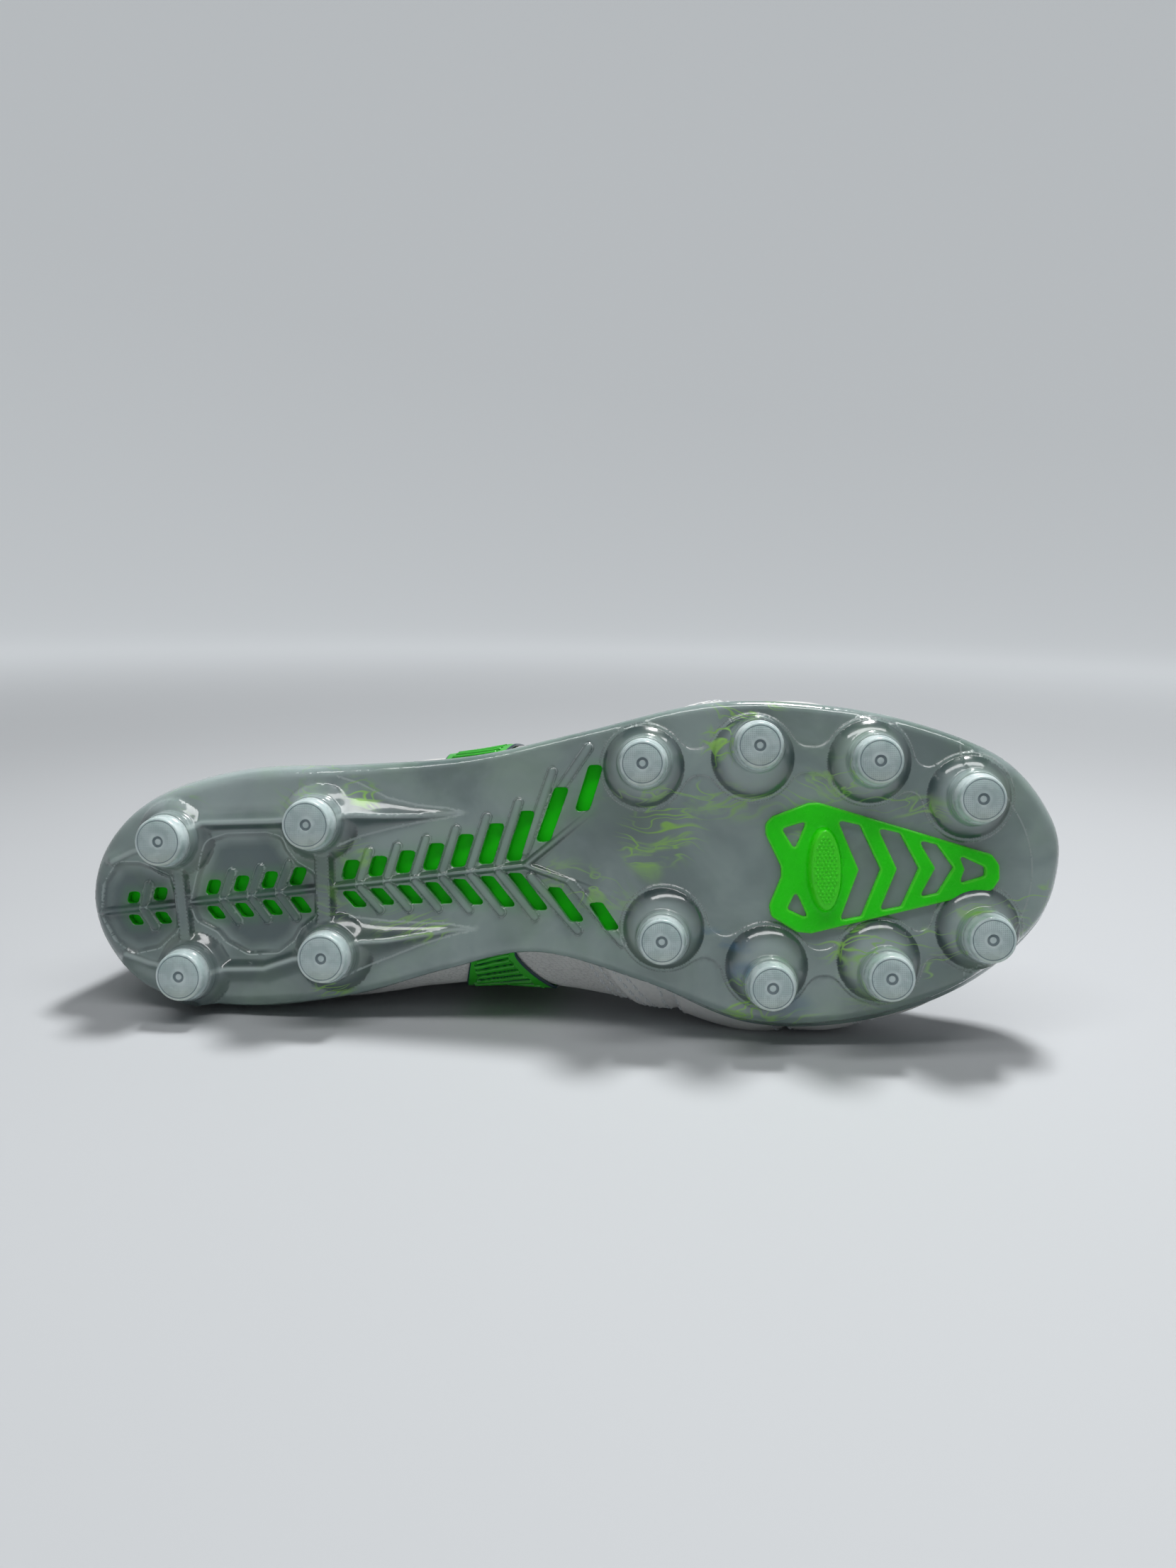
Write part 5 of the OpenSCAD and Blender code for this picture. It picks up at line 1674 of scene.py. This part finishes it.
def build_tongue():
    """One padded piece over the tongue's two CAD solids."""
    cells = arch_of(np.linspace(3.7, 8, 230), tongue_low, 34, tongue_end)
    depth = 2.8 + 1.8 * soft((cells[1] - 7) / .5)
    tongue = sheet("tongue_padded", cells, depth + .35, depth + 3.0, FABRIC, height=tongue_height,
                   slot="tongue", stands_for=["tongue_lower", "tongue_upper"],
                   values=dict(edge_=tongue_edge), lip=1, body=None)
    tuple(world(skin(MEDIAL, 5.35, 1.)[None])[0])
    tuple(world(skin(MEDIAL, 4.5, 1.)[None])[0])
    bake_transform(tongue)


def build_collar():
    """The collar's padding under its lining, and the binding rolled over the mouth's edge."""
    low, gap = .06, .01
    side, s, v = cells_of(np.linspace(-4.25, 4.25, 190), same(low), lambda s: top_at(s) - gap, 44)
    rise = np.clip((v - low) / (top_at(s) - gap - low), 0, 1)
    wrinkle = .22 * np.sin(6.6 * side * s + 2 * np.sin(9 * rise)) * np.sin(np.pi * rise)
    face, back = skin(side, s, v, collar_depth(s, v) + .9), skin(side, s, v, 1.9)
    face = face - normals_of(face, back) * (wrinkle * (1 - soft((s - 3.2) / .8)))[..., None]
    verts, faces, source = double(face, back, 1)
    pad = piece("collar_padded", verts, faces, LINING, slot="lining", merge=True,
                cloth=cloth_uv(face).reshape(-1, 3)[source], stands_for=["collar_lining", "collar_padding"])
    q = np.linspace(-4.72, 4.72, 420)
    s, side = np.abs(q), sides_of(q)
    v = top_at(s) - .004
    outer, inner = skin(side, s, v), skin(side, s, v, collar_depth(s, v) + .7)
    wide = np.linalg.norm(outer - inner, axis=1) + .9
    middle = (outer + inner) / 2 + [0, 0, .25]
    verts, faces, uv = tube_mesh(middle, np.tile([0, 0, 1.], (len(q), 1)), wide, 2.1, 14)
    piece("collar_binding", verts, faces, BINDING, slot="lining", cloth=uv)


def build_linings():
    """The cloth behind the quarters and behind the vamp."""
    cells = cells_of(np.linspace(-SEAM_TOP, SEAM_TOP, 170), same(-1),
                     lambda s: .04 + .46 * soft((s - 4.3) / .4), 26)
    depth = back_depth(cells[1])
    sheet("quarter_lining_textile", cells, depth, depth + .9, LINING, slot="lining",
          stands_for=["quarter_lining"])
    cells = arch_of(np.linspace(SEAM_TOP, LAST, 60), same(-1), 30)
    sheet("vamp_lining_textile", cells, 2.6, 3.5, LINING, slot="lining", stands_for=["vamp_lining"],
          fold=True)


def build_sockliner():
    """The moulded insole: a shallow cup with a turned-up, rounded rim."""
    s = np.linspace(0, LAST, 160)[:, None]
    across = np.linspace(-1, 1, 61)[None]
    side, s = np.broadcast_arrays(np.where(across > 0, LATERAL, MEDIAL), s)
    e, axis = edge(side, s), along(RIDGE_T, s)[..., :2]
    away = e - axis
    away /= np.linalg.norm(away, axis=-1)[..., None]
    rim = e - away * (5.2 + along(RIM_T, s)[..., 2])[..., None]
    plan = axis + (rim - axis) * np.abs(across)[..., None]
    to_rim = np.minimum((1 - np.abs(across)) * np.linalg.norm(rim - axis, axis=-1), 60)
    bottom = PLATE + 1.1 + .4 + 1.4 + .3
    z_top = bottom + 4 - .75 * soft(to_rim / 12) - 1.1 * (1 - soft(to_rim / 1.6)) ** 2
    top, low = (np.concatenate([plan, (z + spring(plan[..., 0]))[..., None]], -1) for z in (z_top, bottom))
    verts, faces, source = double(top, low, 0)
    flat = (top * (1, 1, 0)).reshape(-1, 3)
    piece("sockliner_moulded", verts, faces, SOCK, body="insole", slot="sockliner", merge=True,
          cloth=flat[source], stands_for=["sockliner"])


def build_lace():
    """The lace on the route of its CAD solid, criss-cross through the six pairs of eyelets."""
    def at(side, s, v, height):
        return over(*(np.array([float(q)]) for q in (side, s, v, height)))[0]

    route = [at(MEDIAL, EYELETS[0] + .14, .66, -1.35)]
    for i, s in enumerate(EYELETS):
        start = MEDIAL if i % 2 == 0 else LATERAL
        top = float(top_at(s))
        v, b = top - EYELET_EDGE, top + .05
        crossing = [(v, -1.35), (v, 2), (v + .03, 3.2), (b, 2.4), ((b + 1) / 2, 1.2)]
        route += [at(start, s, *c) for c in crossing]
        route.append(skin(start, s, 1., -.6))
        route += [at(-start, s, *c) for c in crossing[::-1]]
    route.append(at(MEDIAL, EYELETS[-1] - .14, .72, -1.35))
    path = smooth_path(route, 9)
    away = path - np.column_stack([path[:, 0], 0 * path[:, 0], np.full(len(path), 30.)])
    verts, faces, uv = tube_mesh(path, away, 2.9, 1.9, 14)
    piece("lace_braided", verts, faces, LACE, slot="lace", cloth=uv, stands_for=["lace"])


build_vamp()
for side, name in ((MEDIAL, "medial"), (LATERAL, "lateral")):
    rows = build_quarter(side, name)
    build_band(side, name)
    sew(name + "_stitching", rows + build_eyestay(side, name), THREAD)
build_heel_stay()
build_tongue()
build_collar()
build_linings()
build_sockliner()
build_lace()


# ---------------------------------------------------------------- camera, floor and light
EYE = np.array([190.6, -40.8, -331.2])  # the camera's place, in shoe millimetres
FOCUS = 1661 / 2212  # focal length as a share of the picture's height


def build_camera():
    """The camera, whose aim was found with the shoe leaning 15 degrees and raised 3.3, and turns with it."""
    az, down, lean, rise = (math.radians(a) for a in (6, 17.6, 15, 3.3))
    ahead = np.array([-math.sin(az) * math.cos(down), math.cos(az) * math.cos(down), -math.sin(down)])
    right = np.array([math.cos(az), math.sin(az), 0])
    swing = LAY @ (turn_y(-rise) @ turn_x(-(math.pi / 2 + lean))).T
    ahead, right = swing @ ahead, swing @ right
    cam = bpy.data.cameras.new("camera")
    cam.sensor_fit = "AUTO"
    cam.sensor_width = 36
    cam.lens = FOCUS * 36
    obj = bpy.data.objects.new("camera", cam)
    bpy.context.scene.collection.objects.link(obj)
    axes = np.column_stack([right, np.cross(right, ahead), -ahead, world(EYE)])
    obj.matrix_world = Matrix([*axes.tolist(), (0, 0, 0, 1)])
    bpy.context.scene.camera = obj


def area(name, at, aim, size, power, colour=(1, 1, 1), size_y=None):
    """An area light, unseen by the camera."""
    light = bpy.data.lights.new(name, "AREA")
    light.energy, light.color, light.size = power, colour, size
    if size_y:
        light.shape, light.size_y = "RECTANGLE", size_y
    obj = bpy.data.objects.new(name, light)
    bpy.context.scene.collection.objects.link(obj)
    obj.location = at
    obj.rotation_euler = (Vector(aim) - Vector(at)).to_track_quat("-Z", "Y").to_euler()
    obj.visible_camera = False


build_camera()
area("overhead", (.2, .28, 1.2), (0, -.02, 0), .2, 13.6)
area("strip", (.1, -.3, .8), (.02, 0, .05), 1.0, 3.2, size_y=.15)
area("fill", (-.25, -1.1, .75), (0, 0, .05), .9, .35, (.94, .97, 1))
bpy.context.scene.view_settings.view_transform = "Standard"
sky = bpy.data.worlds.new("studio")
bpy.context.scene.world = sky
sky.use_nodes = True
background = sky.node_tree.nodes["Background"].inputs
background["Color"].default_value = (.80, .83, .86, 1)
background["Strength"].default_value = .07

paper = Mat("paper_sweep", Roughness=.75)
tone = paper.noise(paper.node("TexCoord", out=3), 3, 3)
paper.set(Base_Color=paper.mix(tone, (.51, .53, .55), (.54, .56, .58)),
          Normal=paper.bump(paper.noise(paper.node("TexCoord", out=3), 900, 2), .0001, .1),
          Emission_Color=(.467, .491, .509), Emission_Strength=paper.calc("MULTIPLY", paper.attr("far"), .9))

# The paper's flat part ends at BOWL_FLAT metres, and its bend has radius BOWL_BEND
BOWL_FLAT, BOWL_BEND = 1.9, 1.3


def bowl(name, radii, turns=96):
    """Part of the studio's paper bowl: flat in the middle, then curving up all round."""
    radii = np.asarray(radii, float)
    bend = np.clip((radii - BOWL_FLAT) / BOWL_BEND, 0, math.pi / 2)
    r = np.minimum(radii, BOWL_FLAT) + BOWL_BEND * np.sin(bend)
    z = BOWL_BEND * (1 - np.cos(bend)) + np.maximum(radii - BOWL_FLAT - BOWL_BEND * math.pi / 2, 0)
    a = np.linspace(0, 2 * math.pi, turns, endpoint=False)
    verts = np.stack([r[:, None] * np.cos(a), r[:, None] * np.sin(a), z[:, None] + 0 * a], -1).reshape(-1, 3)
    mesh = bpy.data.meshes.new(name)
    mesh.from_pydata(verts, [], grid_faces(len(radii), turns, wrap_cols=True).tolist())
    mesh.polygons.foreach_set("use_smooth", [True] * len(mesh.polygons))
    far = mesh.attributes.new("far", "FLOAT", "POINT")
    far.data.foreach_set("value", np.repeat(soft((radii - .45) / 1.15), turns))
    mesh.materials.append(paper.m)
    obj = bpy.data.objects.new(name, mesh)
    bpy.context.scene.collection.objects.link(obj)
    return obj


bowl("floor", [.001, .05, .1, .2, .3, .4, .45])
surround = bowl("surround", list(np.arange(.45, 3.95, .05)) + [4.5, 5.5, 6.5])
surround.visible_diffuse = False
surround.visible_shadow = False

bpy.context.view_layer.update()
